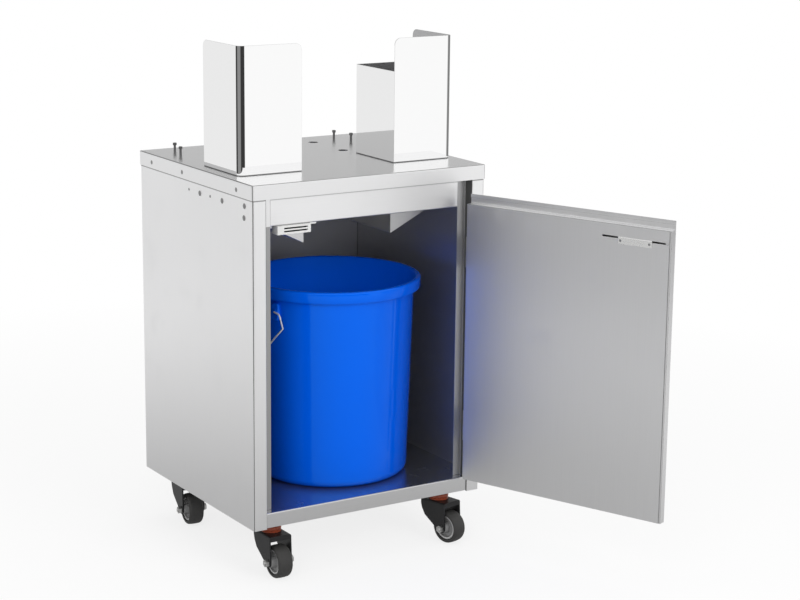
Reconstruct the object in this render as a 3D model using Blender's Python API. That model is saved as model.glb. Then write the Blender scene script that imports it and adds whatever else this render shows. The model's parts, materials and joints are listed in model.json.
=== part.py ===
"""Mobile base cabinet for a counter-top juicer: folded stainless body, peel chutes, waste bucket, casters.

Metres, +Z up. The origin lies on the floor under the middle of the body, and the door side faces -Y.
"""

import math

import bmesh
import bpy
from mathutils import Vector

# Sheet metal
SHEET = 0.0012
FOLD_RADIUS = 0.0026
SEAT_GAP = 0.0003

# Body
BODY_WIDTH = 0.500
BODY_DEPTH = 0.464
BODY_HEIGHT = 0.649
CASTER_HEIGHT = 0.105
LIP_HEIGHT = 0.028
STILE_WIDTH = 0.028
REBATE_DEPTH = 0.020
STOP_WIDTH = 0.0185
REAR_FLANGE = 0.015
TRAY_HEIGHT = 0.030
TRAY_SETBACK = 0.0022
TRAY_LIP_RAISE = 0.0015
HEADER_DROP = 0.054
HEADER_FLANGE = 0.028
CHANNEL_WIDTH = 0.072

# Door, modelled shut and then swung open about its hinge pins
DOOR_THICKNESS = 0.016
DOOR_SIDE_GAP = 0.003
DOOR_BOTTOM_GAP = 0.002
DOOR_TOP_GAP = 0.025
DOOR_OPEN_DEGREES = 112.0
PULL_HEIGHT = 0.0175
HEM_HEIGHT = 0.007
LINER_MARGIN = 0.0035
LINER_FLANGE = 0.012
KEEPER_LENGTH = 0.070
KEEPER_HEIGHT = 0.013
KEEPER_THICKNESS = 0.0015
KEEPER_EDGE_INSET = 0.0345
KEEPER_DROP = 0.022
KEEPER_EDGE = 0.0005
SLOT_LENGTH = 0.033
SLOT_HEIGHT = 0.003

# Hinges
HINGE_LENGTH = 0.060
HINGE_FORWARD = 0.004
HINGE_END_INSET = 0.070
KNUCKLE_RADIUS = 0.0034
KNUCKLE_GAP = 0.0004
HINGE_PIN_RADIUS = 0.0017
HINGE_PIN_HEAD_RADIUS = 0.0028
HINGE_PIN_HEAD = 0.0016
LEAF_THICKNESS = 0.0010
LEAF_DEPTH = 0.014
LEAF_OFFSET = 0.0002

# Magnetic catch under the header
CATCH_LENGTH = 0.070
CATCH_DEPTH = 0.023
CATCH_HEIGHT = 0.017
CATCH_INSET = 0.014
CATCH_FOOT_LENGTH = 0.014
CATCH_FOOT_HEIGHT = 0.0032
CATCH_SLOT_HEIGHT = 0.0028
CATCH_SLOT_DEPTH = 0.006
CATCH_EDGE = 0.001

# Peel chutes and the deflectors below them
CHUTE_WIDTH = 0.131
CHUTE_DEPTH = 0.141
CHUTE_TALL = 0.237
CHUTE_LOW = 0.174
CHUTE_SIDE_INSET = 0.084
CHUTE_SHIFT = 0.0050
CHUTE_FRONT_INSET = 0.0945
CHUTE_BEND_RADIUS = 0.013
CHUTE_CORNER_RADIUS = 0.013
THROAT_LEDGE = 0.0020
DEFLECTOR_SIDE_MARGIN = 0.006
DEFLECTOR_DROP = 0.134
DEFLECTOR_RISE = 0.074
DEFLECTOR_FLANGE = 0.012

# Worktop studs and holes
STUD_RADIUS = 0.0024
STUD_HEIGHT = 0.014
STUD_FLANGE_RADIUS = 0.006
STUD_FLANGE_THICKNESS = 0.0016
STUD_TAIL = 0.004
STUD_SHIFT = -0.0065
STUD_REAR_SIDE_INSET = 0.0684
STUD_NEAR_SIDE_INSET = 0.0568
STUD_BACK_INSET = 0.0262
STUD_STEP = 0.0490
WORKTOP_HOLE_RADIUS = 0.010
WORKTOP_HOLE_X = 0.101
WORKTOP_HOLE_BACK_INSET = 0.0695
WORKTOP_HOLE_CHUTE_GAP = 0.0405

# Bucket and its wire bail
BUCKET_OFFSET_X = 0.0275
BUCKET_FRONT_INSET = 0.1955
BUCKET_HEIGHT = 0.3925
BUCKET_WALL = 0.003
BUCKET_BASE_RADIUS = 0.1510
BUCKET_MOUTH_RADIUS = 0.1625
BUCKET_BASE_ROUND = 0.016
RIM_RADIUS = 0.1752
RIM_HEIGHT = 0.022
RIM_ROUND = 0.004
EAR_TURN_DEGREES = 20.0
EAR_DROP = 0.047
EAR_WIDTH = 0.016
EAR_HEIGHT = 0.034
EAR_REACH = 0.006
WIRE_RADIUS = 0.00175
WIRE_CLEARANCE = 0.0004
BAIL_OVERHANG = 0.0030
CRANK_FORWARD = 0.023
CRANK_DOWN = 0.029
HOOK_FORWARD = 0.014
HOOK_DOWN = 0.004
BAIL_SLOPE_DEGREES = 45.0
BAIL_WALL_GAP = 0.004

# Casters
WHEEL_RADIUS = 0.03175
TYRE_WIDTH = 0.030
TYRE_DEPTH = 0.0075
TYRE_SHOULDER = 0.006
RIM_FACE_DEPTH = 0.004
HUB_RADIUS = 0.0095
HUB_FLARE = 0.0015
AXLE_RADIUS = 0.004
AXLE_CLEARANCE = 0.0003
NUT_ACROSS_FLATS = 0.013
NUT_THICKNESS = 0.0065
BOLT_HEAD_THICKNESS = 0.005
BOLT_END = 0.002
CASTER_TRAIL = 0.0295
CASTER_SIDE_INSET = 0.061
CASTER_FRONT_INSET = 0.047
CASTER_REAR_INSET = 0.061
CASTER_PLATE_SIDE = 0.060
CASTER_PLATE_THICKNESS = 0.0030
CUP_RADIUS = 0.020
CUP_HEIGHT = 0.0072
RING_RADIUS = 0.019
RING_HEIGHT = 0.012
RING_GROOVE = 0.002
RING_BORE_CLEARANCE = 0.0005
KING_PIN_RADIUS = 0.005
KING_PIN_HEAD_RADIUS = 0.008
KING_PIN_HEAD = 0.004
FORK_SHEET = 0.003
FORK_WIDTH = 0.047
FORK_FRONT = 0.036
FORK_REAR = 0.026
FORK_FOLD_RADIUS = 0.0045
FORK_BOSS_RADIUS = 0.009
FORK_HEEL_BACK = 0.0156
FORK_HEEL_HEIGHT = 0.0510
FORK_SHOULDER_BACK = 0.0234
FORK_SHOULDER_HEIGHT = 0.0640
FORK_FRONT_LIP = 0.010
CASTER_TURN_DEGREES = {
    "front_left": 0.0,
    "front_right": 13.6,
    "rear_left": -6.0,
    "rear_right": 5.0,
}

# Facets round each circle, each fold and each rounded corner, and the angle that stays a sharp edge
SHARP_DEGREES = 32.0
FOLD_STEPS = 3
CORNER_STEPS = 6
SHOULDER_STEPS = 2
ROUND_STEPS = 16
CASTER_STEPS = 18
TYRE_STEPS = 28
BUCKET_STEPS = 48
BAIL_STEPS = 28

# Places worked out from the sizes above
FRONT = -BODY_DEPTH / 2
BACK = BODY_DEPTH / 2
SIDE = BODY_WIDTH / 2
BODY_BOTTOM = CASTER_HEIGHT
WORKTOP = BODY_BOTTOM + BODY_HEIGHT
PANEL_TOP = WORKTOP - SHEET - SEAT_GAP
SIDE_TOP = WORKTOP - FOLD_RADIUS
LIP_BOTTOM = WORKTOP - LIP_HEIGHT
TRAY_TOP = BODY_BOTTOM + TRAY_HEIGHT
TRAY_BOTTOM = BODY_BOTTOM + TRAY_LIP_RAISE
INNER_SIDE = SIDE - SHEET - SEAT_GAP
STILE_INNER = SIDE - STILE_WIDTH
STOP_INNER = STILE_INNER - STOP_WIDTH
BACK_PANEL_REAR = BACK - SHEET - SEAT_GAP
BACK_PANEL_FRONT = BACK_PANEL_REAR - SHEET
HEADER_BOTTOM = LIP_BOTTOM - HEADER_DROP
HEADER_FACE = FRONT + REBATE_DEPTH
DOOR_SIDE = STILE_INNER - DOOR_SIDE_GAP
DOOR_BOTTOM = TRAY_TOP + DOOR_BOTTOM_GAP
DOOR_TOP = LIP_BOTTOM - DOOR_TOP_GAP
LINER_TOP = DOOR_TOP - PULL_HEIGHT
HINGE_AXIS = Vector((STILE_INNER - DOOR_SIDE_GAP / 2, FRONT - HINGE_FORWARD, 0.0))
CHUTE_FRONT = FRONT + CHUTE_FRONT_INSET
CHUTE_BACK = CHUTE_FRONT + CHUTE_DEPTH
CHUTE_MIDDLE = SIDE - CHUTE_SIDE_INSET
DEFLECTOR_INNER = CHUTE_MIDDLE - CHUTE_WIDTH / 2 - abs(CHUTE_SHIFT)
BUCKET_CENTRE = Vector((BUCKET_OFFSET_X, FRONT + BUCKET_FRONT_INSET, TRAY_TOP + SEAT_GAP))
RIGHT_ANGLE = math.pi / 2


# Finishes

def finish(name, colour, roughness, metallic):
    material = bpy.data.materials.new(name)
    material.use_nodes = True
    shader = material.node_tree.nodes["Principled BSDF"]
    shader.inputs["Base Color"].default_value = (*colour, 1.0)
    shader.inputs["Roughness"].default_value = roughness
    shader.inputs["Metallic"].default_value = metallic
    material.diffuse_color = (*colour, 1.0)
    return material


# Modelling helpers

def place(name, bm, material):
    """Turns a bmesh into a named object, with round faces smooth and folds sharp."""
    mesh = bpy.data.meshes.new(name)
    bm.to_mesh(mesh)
    bm.free()
    mesh.shade_smooth()
    mesh.set_sharp_from_angle(angle=math.radians(SHARP_DEGREES))
    piece = bpy.data.objects.new(name, mesh)
    bpy.context.scene.collection.objects.link(piece)
    if material:
        mesh.materials.append(material)
    return piece


def as_tool(piece):
    """Marks a cutter or a joined shape, which is no piece of its own."""
    piece.hide_render = True
    piece.display_type = "WIRE"
    return piece


def combine(piece, tool, operation):
    modifier = piece.modifiers.new(f"{operation.lower()} {tool.name}", "BOOLEAN")
    modifier.operation = operation
    modifier.solver = "EXACT"
    modifier.object = as_tool(tool)
    return piece


def cut(piece, tool):
    return combine(piece, tool, "DIFFERENCE")


def unite(piece, tool):
    return combine(piece, tool, "UNION")


def block(name, low, high, material=None, bevel=0.0):
    """A box between two corners, with all its edges rounded by the bevel."""
    bm = bmesh.new()
    bmesh.ops.create_cube(bm, size=1.0)
    for vertex in bm.verts:
        for axis in range(3):
            vertex.co[axis] = high[axis] if vertex.co[axis] > 0 else low[axis]
    if bevel:
        bmesh.ops.bevel(bm, geom=bm.edges[:], offset=bevel, segments=2, profile=0.5, affect="EDGES")
    return place(name, bm, material)


def on_axis(axis, first, second, along):
    """A point of a flat outline that is extruded along the axis X, Y or Z."""
    if axis == "X":
        return Vector((along, first, second))
    if axis == "Y":
        return Vector((first, along, second))
    return Vector((first, second, along))


def prism(name, outline, axis, start, end, material=None):
    """A flat outline extruded along an axis."""
    bm = bmesh.new()
    corners = [bm.verts.new(on_axis(axis, first, second, start)) for first, second in outline]
    face = bm.faces.new(corners)
    grown = bmesh.ops.extrude_face_region(bm, geom=[face])
    moved = [item for item in grown["geom"] if isinstance(item, bmesh.types.BMVert)]
    bmesh.ops.translate(bm, verts=moved, vec=on_axis(axis, 0.0, 0.0, end - start))
    bmesh.ops.recalc_face_normals(bm, faces=bm.faces[:])
    return place(name, bm, material)


def arc(centre, radius, start, end, steps):
    """Points on a circle from one angle to another, both ends included."""
    points = []
    for step in range(steps + 1):
        angle = start + (end - start) * step / steps
        points.append((centre[0] + radius * math.cos(angle), centre[1] + radius * math.sin(angle)))
    return points


def ring(centre, radius, steps):
    """Points all round a circle."""
    return arc(centre, radius, 0.0, math.tau, steps)[:-1]


def rounded(path, radius):
    """The path with each of its corners turned on a radius, as a press brake leaves it."""
    result = [path[0]]
    for before, corner, after in zip(path, path[1:], path[2:]):
        here = Vector(corner)
        back = (Vector(before) - here).normalized()
        ahead = (Vector(after) - here).normalized()
        half = back.angle(ahead) / 2
        centre = here + (back + ahead).normalized() * (radius / math.sin(half))
        first = here + back * (radius / math.tan(half))
        sweep = (first - centre).angle_signed(here + ahead * (radius / math.tan(half)) - centre)
        start = math.atan2(first.y - centre.y, first.x - centre.x)
        result += arc(centre, radius, start, start - sweep, FOLD_STEPS)
    result.append(path[-1])
    return result


def folded(name, path, axis, start, end, material=None):
    """Sheet that follows a path and is extruded along an axis, thickened to the right of the path."""
    bm = bmesh.new()
    lower = [bm.verts.new(on_axis(axis, first, second, start)) for first, second in path]
    upper = [bm.verts.new(on_axis(axis, first, second, end)) for first, second in path]
    for index in range(len(path) - 1):
        corners = [lower[index], lower[index + 1], upper[index + 1], upper[index]]
        bm.faces.new(reversed(corners) if axis == "Y" else corners)
    piece = place(name, bm, material)
    solidify = piece.modifiers.new("sheet thickness", "SOLIDIFY")
    solidify.thickness = SHEET
    solidify.offset = 1.0
    solidify.use_even_offset = True
    return piece


def turned(name, profile, steps, material=None):
    """A profile of (radius, height) points spun about Z."""
    bm = bmesh.new()
    points = [bm.verts.new((radius, 0.0, height)) for radius, height in profile]
    ends_on_axis = profile[0][0] == 0.0 and profile[-1][0] == 0.0
    edges = [bm.edges.new(pair) for pair in zip(points, points[1:])]
    if not ends_on_axis:
        edges.append(bm.edges.new((points[-1], points[0])))
    bmesh.ops.spin(
        bm,
        geom=points + edges,
        cent=(0.0, 0.0, 0.0),
        axis=(0.0, 0.0, 1.0),
        angle=math.tau,
        steps=steps,
        use_merge=True,
    )
    bmesh.ops.remove_doubles(bm, verts=bm.verts[:], dist=1e-6)
    bmesh.ops.recalc_face_normals(bm, faces=bm.faces[:])
    return place(name, bm, material)


def lie_along_x(piece):
    """Turns a spun piece so that its height runs along +X."""
    piece.rotation_euler = (0.0, RIGHT_ANGLE, 0.0)
    return piece


def mirrored(path):
    """The same path for the other side, in reverse so that the sheet thickens inward again."""
    return [(-first, second) for first, second in reversed(path)]


def empty(name, location, parent=None, turn=0.0):
    holder = bpy.data.objects.new(name, None)
    holder.location = location
    holder.rotation_euler = (0.0, 0.0, turn)
    holder.parent = parent
    bpy.context.scene.collection.objects.link(holder)
    return holder


# Body panels

def make_side_panel(name, left, steel):
    """One sheet: stop flange, rebate, stile, side and rear flange."""
    path = [
        (-STOP_INNER, HEADER_FACE),
        (-STILE_INNER, HEADER_FACE),
        (-STILE_INNER, FRONT),
        (-SIDE, FRONT),
        (-SIDE, BACK),
        (-SIDE + REAR_FLANGE, BACK),
    ]
    path = rounded(path, FOLD_RADIUS)
    hand = -1 if left else 1
    panel = folded(name, path if left else mirrored(path), "Z", BODY_BOTTOM, SIDE_TOP, steel)
    clear = FOLD_RADIUS + SHEET
    reach = sorted((hand * (STOP_INNER - clear), hand * (STILE_INNER + clear)))
    notch = block(
        f"{name} tray notch",
        (reach[0], FRONT + TRAY_SETBACK - SEAT_GAP, BODY_BOTTOM - clear),
        (reach[1], HEADER_FACE + clear, TRAY_TOP + SEAT_GAP),
    )
    return cut(panel, notch)


def make_back_panel(steel):
    """A flat sheet in front of the rear flanges, clear of the inside of their folds."""
    reach = SIDE - FOLD_RADIUS
    low = (-reach, BACK_PANEL_FRONT, TRAY_BOTTOM)
    return block("back_panel", low, (reach, BACK_PANEL_REAR, PANEL_TOP), steel)


def make_pan(name, low, high, radius, steel):
    """A folded pan that is open below."""
    bm = bmesh.new()
    bmesh.ops.create_cube(bm, size=1.0)
    for vertex in bm.verts:
        for axis in range(3):
            vertex.co[axis] = high[axis] if vertex.co[axis] > 0 else low[axis]
    open_face = min(bm.faces, key=lambda face: face.calc_center_median().z)
    bmesh.ops.delete(bm, geom=[open_face], context="FACES_ONLY")
    folds = [edge for edge in bm.edges if len(edge.link_faces) == 2]
    bmesh.ops.bevel(bm, geom=folds, offset=radius, segments=FOLD_STEPS, profile=0.5, affect="EDGES")
    pan = place(name, bm, steel)
    solidify = pan.modifiers.new("sheet thickness", "SOLIDIFY")
    solidify.thickness = SHEET
    solidify.offset = -1.0
    solidify.use_even_offset = True
    return pan


def make_base_tray(steel):
    low = (-INNER_SIDE, FRONT + TRAY_SETBACK, TRAY_BOTTOM)
    high = (INNER_SIDE, BACK_PANEL_FRONT - SEAT_GAP, TRAY_TOP)
    return make_pan("base_tray", low, high, FOLD_RADIUS, steel)


def make_caster_channel(name, centre_y, steel):
    """A hat channel across the tray, which the caster plates bolt to."""
    half = CHANNEL_WIDTH / 2
    top = TRAY_TOP - SHEET - SEAT_GAP
    front = centre_y - half
    back = centre_y + half
    path = [(back, top), (back, TRAY_BOTTOM), (front, TRAY_BOTTOM), (front, top)]
    reach = INNER_SIDE - FOLD_RADIUS
    return folded(name, rounded(path, FOLD_RADIUS), "X", -reach, reach, steel)


def make_header(steel):
    rear = HEADER_FACE + HEADER_FLANGE
    path = [
        (rear, HEADER_BOTTOM),
        (HEADER_FACE, HEADER_BOTTOM),
        (HEADER_FACE, PANEL_TOP),
        (rear, PANEL_TOP),
    ]
    reach = STOP_INNER - SEAT_GAP
    return folded("header_rail", rounded(path, FOLD_RADIUS), "X", -reach, reach, steel)


# Worktop with its throats and round holes

def chute_box(hand):
    """Plan limits of a chute: its outer and inner x, left chute with hand -1."""
    centre = CHUTE_SHIFT + hand * CHUTE_MIDDLE
    return centre + hand * CHUTE_WIDTH / 2, centre - hand * CHUTE_WIDTH / 2


def stud_places():
    """Plan places of the studs: a rear pair and a wider pair nearer the front."""
    rear = BACK - STUD_BACK_INSET
    near = rear - STUD_STEP
    places = []
    for inset, y in ((STUD_REAR_SIDE_INSET, rear), (STUD_NEAR_SIDE_INSET, near)):
        places += [(STUD_SHIFT - SIDE + inset, y), (STUD_SHIFT + SIDE - inset, y)]
    return places


def make_top_plate(steel):
    overhang = SHEET + SEAT_GAP
    low = (-SIDE - overhang, FRONT - overhang, LIP_BOTTOM)
    high = (SIDE + overhang, BACK + overhang, WORKTOP)
    plate = make_pan("top_plate", low, high, FOLD_RADIUS, steel)
    below = WORKTOP - 3 * SHEET
    above = WORKTOP + SHEET
    wall = SHEET + THROAT_LEDGE
    for hand, word in ((-1, "left"), (1, "right")):
        reach = sorted(chute_box(hand))
        throat = block(
            f"{word} throat",
            (reach[0] + wall, CHUTE_FRONT + wall, below),
            (reach[1] - wall, CHUTE_BACK - wall, above),
        )
        cut(plate, throat)
    for index, (x, y) in enumerate(stud_places()):
        hole = ring((x, y), STUD_RADIUS + SEAT_GAP, ROUND_STEPS)
        cut(plate, prism(f"stud hole {index}", hole, "Z", below, above))
    for index, y in enumerate((BACK - WORKTOP_HOLE_BACK_INSET, CHUTE_BACK + WORKTOP_HOLE_CHUTE_GAP)):
        hole = ring((WORKTOP_HOLE_X, y), WORKTOP_HOLE_RADIUS, ROUND_STEPS)
        cut(plate, prism(f"worktop hole {index}", hole, "Z", below, above))
    return plate


def make_studs(zinc):
    flange_top = -SHEET - SEAT_GAP
    flange_low = flange_top - STUD_FLANGE_THICKNESS
    chamfer = STUD_RADIUS / 3
    profile = [
        (0.0, STUD_HEIGHT),
        (STUD_RADIUS - chamfer, STUD_HEIGHT),
        (STUD_RADIUS, STUD_HEIGHT - chamfer),
        (STUD_RADIUS, flange_top),
        (STUD_FLANGE_RADIUS, flange_top),
        (STUD_FLANGE_RADIUS, flange_low),
        (STUD_RADIUS, flange_low),
        (STUD_RADIUS, flange_low - STUD_TAIL),
        (0.0, flange_low - STUD_TAIL),
    ]
    for index, (x, y) in enumerate(stud_places()):
        stud = turned(f"locating_stud_{index + 1}", profile, ROUND_STEPS, zinc)
        stud.location = (x, y, WORKTOP)


# Peel chutes and deflectors

def spandrel(name, corner, radius, towards, axis, start, end):
    """Cutter that rounds a sheet's free corner: the corner with a quarter circle left out."""
    centre = (corner[0] + towards[0] * radius, corner[1] + towards[1] * radius)
    begin = math.atan2(0.0, -towards[0])
    finish_angle = math.atan2(-towards[1], 0.0)
    sweep = math.atan2(math.sin(finish_angle - begin), math.cos(finish_angle - begin))
    past = (corner[0] - towards[0] * radius, corner[1] - towards[1] * radius)
    outline = arc(centre, radius, begin, begin + sweep, CORNER_STEPS)
    outline += [(centre[0], past[1]), past, (past[0], centre[1])]
    return prism(name, outline, axis, start, end)


def make_chute(name, hand, mirror):
    """Two bent sheets welded to a tube: a high one in front and outside, a low one behind and inside."""
    outer, inner = chute_box(hand)
    foot = WORKTOP + SEAT_GAP
    top = foot + CHUTE_TALL
    corner = arc(
        (outer - hand * CHUTE_BEND_RADIUS, CHUTE_FRONT + CHUTE_BEND_RADIUS),
        CHUTE_BEND_RADIUS,
        -RIGHT_ANGLE,
        0.0 if hand > 0 else -math.pi,
        CORNER_STEPS,
    )
    weld = SHEET / 2
    high_path = [(inner, CHUTE_FRONT), *corner, (outer, CHUTE_BACK)]
    low_path = [(outer - hand * weld, CHUTE_BACK), (inner, CHUTE_BACK), (inner, CHUTE_FRONT + weld)]
    low_path = rounded(low_path, FOLD_RADIUS)
    if hand > 0:
        high_path.reverse()
        low_path.reverse()
    chute = folded(name, high_path, "Z", foot, top, mirror)
    unite(chute, folded(f"{name} low walls", low_path, "Z", foot, foot + CHUTE_LOW))
    past = CHUTE_CORNER_RADIUS
    front_corner = spandrel(
        f"{name} front corner",
        (inner, top),
        CHUTE_CORNER_RADIUS,
        (hand, -1),
        "Y",
        CHUTE_FRONT - past,
        CHUTE_FRONT + past,
    )
    back_corner = spandrel(
        f"{name} back corner",
        (CHUTE_BACK, top),
        CHUTE_CORNER_RADIUS,
        (-1, -1),
        "X",
        outer - past,
        outer + past,
    )
    cut(chute, front_corner)
    return cut(chute, back_corner)


def make_deflector(name, hand, steel):
    """A sloping trough that leads peel from the throat to the middle of the cabinet."""
    front = CHUTE_FRONT - DEFLECTOR_SIDE_MARGIN
    back = CHUTE_BACK + DEFLECTOR_SIDE_MARGIN
    low = WORKTOP - DEFLECTOR_DROP
    high = low + DEFLECTOR_RISE
    outline = [
        (hand * DEFLECTOR_INNER, low),
        (hand * INNER_SIDE, high),
        (hand * INNER_SIDE, PANEL_TOP),
        (hand * DEFLECTOR_INNER, PANEL_TOP),
    ]
    trough = prism(name, outline, "Y", front, back, steel)
    run = INNER_SIDE - DEFLECTOR_INNER
    lift = SHEET * math.hypot(run, DEFLECTOR_RISE) / run
    past = DEFLECTOR_FLANGE
    fall = DEFLECTOR_RISE * past / run
    hollow = [
        (hand * (DEFLECTOR_INNER - past), low + lift - fall),
        (hand * (INNER_SIDE + past), high + lift + fall),
        (hand * (INNER_SIDE + past), PANEL_TOP + past),
        (hand * (DEFLECTOR_INNER - past), PANEL_TOP + past),
    ]
    cut(trough, prism(f"{name} hollow", hollow, "Y", front + SHEET, back - SHEET))
    reach = sorted((hand * DEFLECTOR_INNER, hand * (INNER_SIDE - past)))
    for edge, side in ((front, -1), (back, 1)):
        span = sorted((edge - side * SHEET / 2, edge + side * DEFLECTOR_FLANGE))
        flange = block(
            f"{name} flange {side}",
            (reach[0], span[0], PANEL_TOP - SHEET),
            (reach[1], span[1], PANEL_TOP),
        )
        unite(trough, flange)
    return trough


# Magnetic catch

def make_catch(plastic):
    left = -STOP_INNER + CATCH_INSET
    face = FRONT + DOOR_THICKNESS + KEEPER_THICKNESS + 2 * SEAT_GAP
    top = HEADER_BOTTOM - SEAT_GAP
    low = (left, face, top - CATCH_HEIGHT)
    high = (left + CATCH_LENGTH, face + CATCH_DEPTH, top)
    catch = block("magnetic_catch", low, high, plastic, bevel=CATCH_EDGE)
    foot_left = left + CATCH_LENGTH - CATCH_FOOT_LENGTH / 2
    foot = block(
        "catch foot",
        (foot_left, face + CATCH_DEPTH / 4, top - CATCH_FOOT_HEIGHT),
        (foot_left + 1.5 * CATCH_FOOT_LENGTH, face + CATCH_DEPTH - CATCH_DEPTH / 4, top),
    )
    unite(catch, foot)
    slot_left = left + CATCH_LENGTH / 5
    slot_right = left + CATCH_LENGTH - CATCH_LENGTH / 10
    for index in range(2):
        level = top - CATCH_HEIGHT * (index + 1) / 3
        slot = block(
            f"catch slot {index}",
            (slot_left, face - CATCH_SLOT_DEPTH, level - CATCH_SLOT_HEIGHT / 2),
            (slot_right, face + CATCH_SLOT_DEPTH, level + CATCH_SLOT_HEIGHT / 2),
        )
        cut(catch, slot)
    return catch


# Door and hinges

def from_hinge(point):
    return Vector(point) - HINGE_AXIS


def make_door(steel, keeper_steel, holder):
    """Folded pan, liner and keeper, laid out shut and hung on the holder at the hinge axis."""
    rim_rear = FRONT + DOOR_THICKNESS - SHEET - SEAT_GAP
    pan = block(
        "door_pan",
        from_hinge((-DOOR_SIDE, FRONT, DOOR_BOTTOM)),
        from_hinge((DOOR_SIDE, rim_rear, LINER_TOP)),
        steel,
    )
    cavity = block(
        "door cavity",
        from_hinge((-DOOR_SIDE + SHEET, FRONT + SHEET, DOOR_BOTTOM + SHEET)),
        from_hinge((DOOR_SIDE - SHEET, rim_rear - SHEET, LINER_TOP - SHEET)),
    )
    aperture = block(
        "door aperture",
        from_hinge((-DOOR_SIDE + LINER_FLANGE, rim_rear - 2 * SHEET, DOOR_BOTTOM + LINER_FLANGE)),
        from_hinge((DOOR_SIDE - LINER_FLANGE, rim_rear + SHEET, LINER_TOP - LINER_FLANGE)),
    )
    skin = block(
        "door pull skin",
        from_hinge((-DOOR_SIDE, FRONT, LINER_TOP - SHEET / 2)),
        from_hinge((DOOR_SIDE, FRONT + SHEET, DOOR_TOP)),
    )
    hem = block(
        "door pull hem",
        from_hinge((-DOOR_SIDE, FRONT + SHEET / 2, DOOR_TOP - HEM_HEIGHT)),
        from_hinge((DOOR_SIDE, FRONT + 2 * SHEET, DOOR_TOP)),
    )
    cut(pan, cavity)
    cut(pan, aperture)
    unite(pan, skin)
    unite(pan, hem)

    liner_side = DOOR_SIDE - LINER_MARGIN
    liner_rear = FRONT + DOOR_THICKNESS
    liner = block(
        "door_liner",
        from_hinge((-liner_side, liner_rear - SHEET, DOOR_BOTTOM + SEAT_GAP)),
        from_hinge((liner_side, liner_rear, LINER_TOP - SEAT_GAP)),
        steel,
    )
    keeper_left = -liner_side + KEEPER_EDGE_INSET
    keeper_right = keeper_left + KEEPER_LENGTH
    keeper_top = LINER_TOP - KEEPER_DROP
    slot_starts = (keeper_left - SLOT_LENGTH, keeper_right)
    for index, start in enumerate(slot_starts):
        slot = block(
            f"liner slot {index}",
            from_hinge((start, liner_rear - 2 * SHEET, keeper_top - SLOT_HEIGHT)),
            from_hinge((start + SLOT_LENGTH, liner_rear + SHEET, keeper_top)),
        )
        cut(liner, slot)
    keeper_front = liner_rear + SEAT_GAP
    keeper = block(
        "keeper_plate",
        from_hinge((keeper_left + SEAT_GAP, keeper_front, keeper_top - KEEPER_HEIGHT)),
        from_hinge((keeper_right - SEAT_GAP, keeper_front + KEEPER_THICKNESS, keeper_top)),
        keeper_steel,
        bevel=KEEPER_EDGE,
    )
    for piece in (pan, liner, keeper):
        piece.parent = holder
    for tool in (cavity, aperture, skin, hem):
        tool.parent = holder
    for index in range(len(slot_starts)):
        bpy.data.objects[f"liner slot {index}"].parent = holder


def make_leaf(name, side, spans, zinc):
    """A hinge leaf beside the middle of the door gap, with knuckles over the given spans of height."""
    reach = sorted((side * LEAF_OFFSET, side * (LEAF_OFFSET + LEAF_THICKNESS)))
    bottom = spans[0][0]
    top = spans[-1][1]
    plate_front = HINGE_FORWARD + SHEET
    leaf = block(name, (reach[0], plate_front, bottom), (reach[1], HINGE_FORWARD + LEAF_DEPTH, top), zinc)
    tools = []
    for index, (low, high) in enumerate(spans):
        arm = block(f"{name} arm {index}", (reach[0], 0.0, low), (reach[1], plate_front + SHEET, high))
        barrel = ring((0.0, 0.0), KNUCKLE_RADIUS, ROUND_STEPS)
        knuckle = prism(f"{name} knuckle {index}", barrel, "Z", low, high)
        unite(leaf, arm)
        unite(leaf, knuckle)
        tools += [arm, knuckle]
    hole = ring((0.0, 0.0), HINGE_PIN_RADIUS + SEAT_GAP, ROUND_STEPS)
    bore = prism(f"{name} bore", hole, "Z", bottom - SHEET, top + SHEET)
    cut(leaf, bore)
    for tool in (*tools, bore):
        tool.parent = leaf
    return leaf


def make_hinge(word, bottom, holder, zinc):
    """A butt hinge: two knuckles on the stile, one on the door, and a pin with two heads."""
    third = HINGE_LENGTH / 3
    fixed_spans = [(0.0, third - KNUCKLE_GAP), (2 * third + KNUCKLE_GAP, HINGE_LENGTH)]
    fixed = make_leaf(f"{word}_hinge_fixed_leaf", 1, fixed_spans, zinc)
    fixed.location = HINGE_AXIS + Vector((0.0, 0.0, bottom))
    moving = make_leaf(f"{word}_hinge_door_leaf", -1, [(third, 2 * third)], zinc)
    moving.parent = holder
    moving.location = (0.0, 0.0, bottom)
    head_low = -SEAT_GAP - HINGE_PIN_HEAD
    head_high = HINGE_LENGTH + SEAT_GAP + HINGE_PIN_HEAD
    profile = [
        (0.0, head_high),
        (HINGE_PIN_HEAD_RADIUS, head_high),
        (HINGE_PIN_HEAD_RADIUS, HINGE_LENGTH + SEAT_GAP),
        (HINGE_PIN_RADIUS, HINGE_LENGTH + SEAT_GAP),
        (HINGE_PIN_RADIUS, -SEAT_GAP),
        (HINGE_PIN_HEAD_RADIUS, -SEAT_GAP),
        (HINGE_PIN_HEAD_RADIUS, head_low),
        (0.0, head_low),
    ]
    pin = turned(f"{word}_hinge_pin", profile, ROUND_STEPS, zinc)
    pin.location = HINGE_AXIS + Vector((0.0, 0.0, bottom))


# Bucket and bail

def wall_radius(height):
    """Outer radius of the bucket's wall at a height above its base."""
    share = height / (BUCKET_HEIGHT - RIM_HEIGHT)
    return BUCKET_BASE_RADIUS + (BUCKET_MOUTH_RADIUS - BUCKET_BASE_RADIUS) * share


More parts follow.
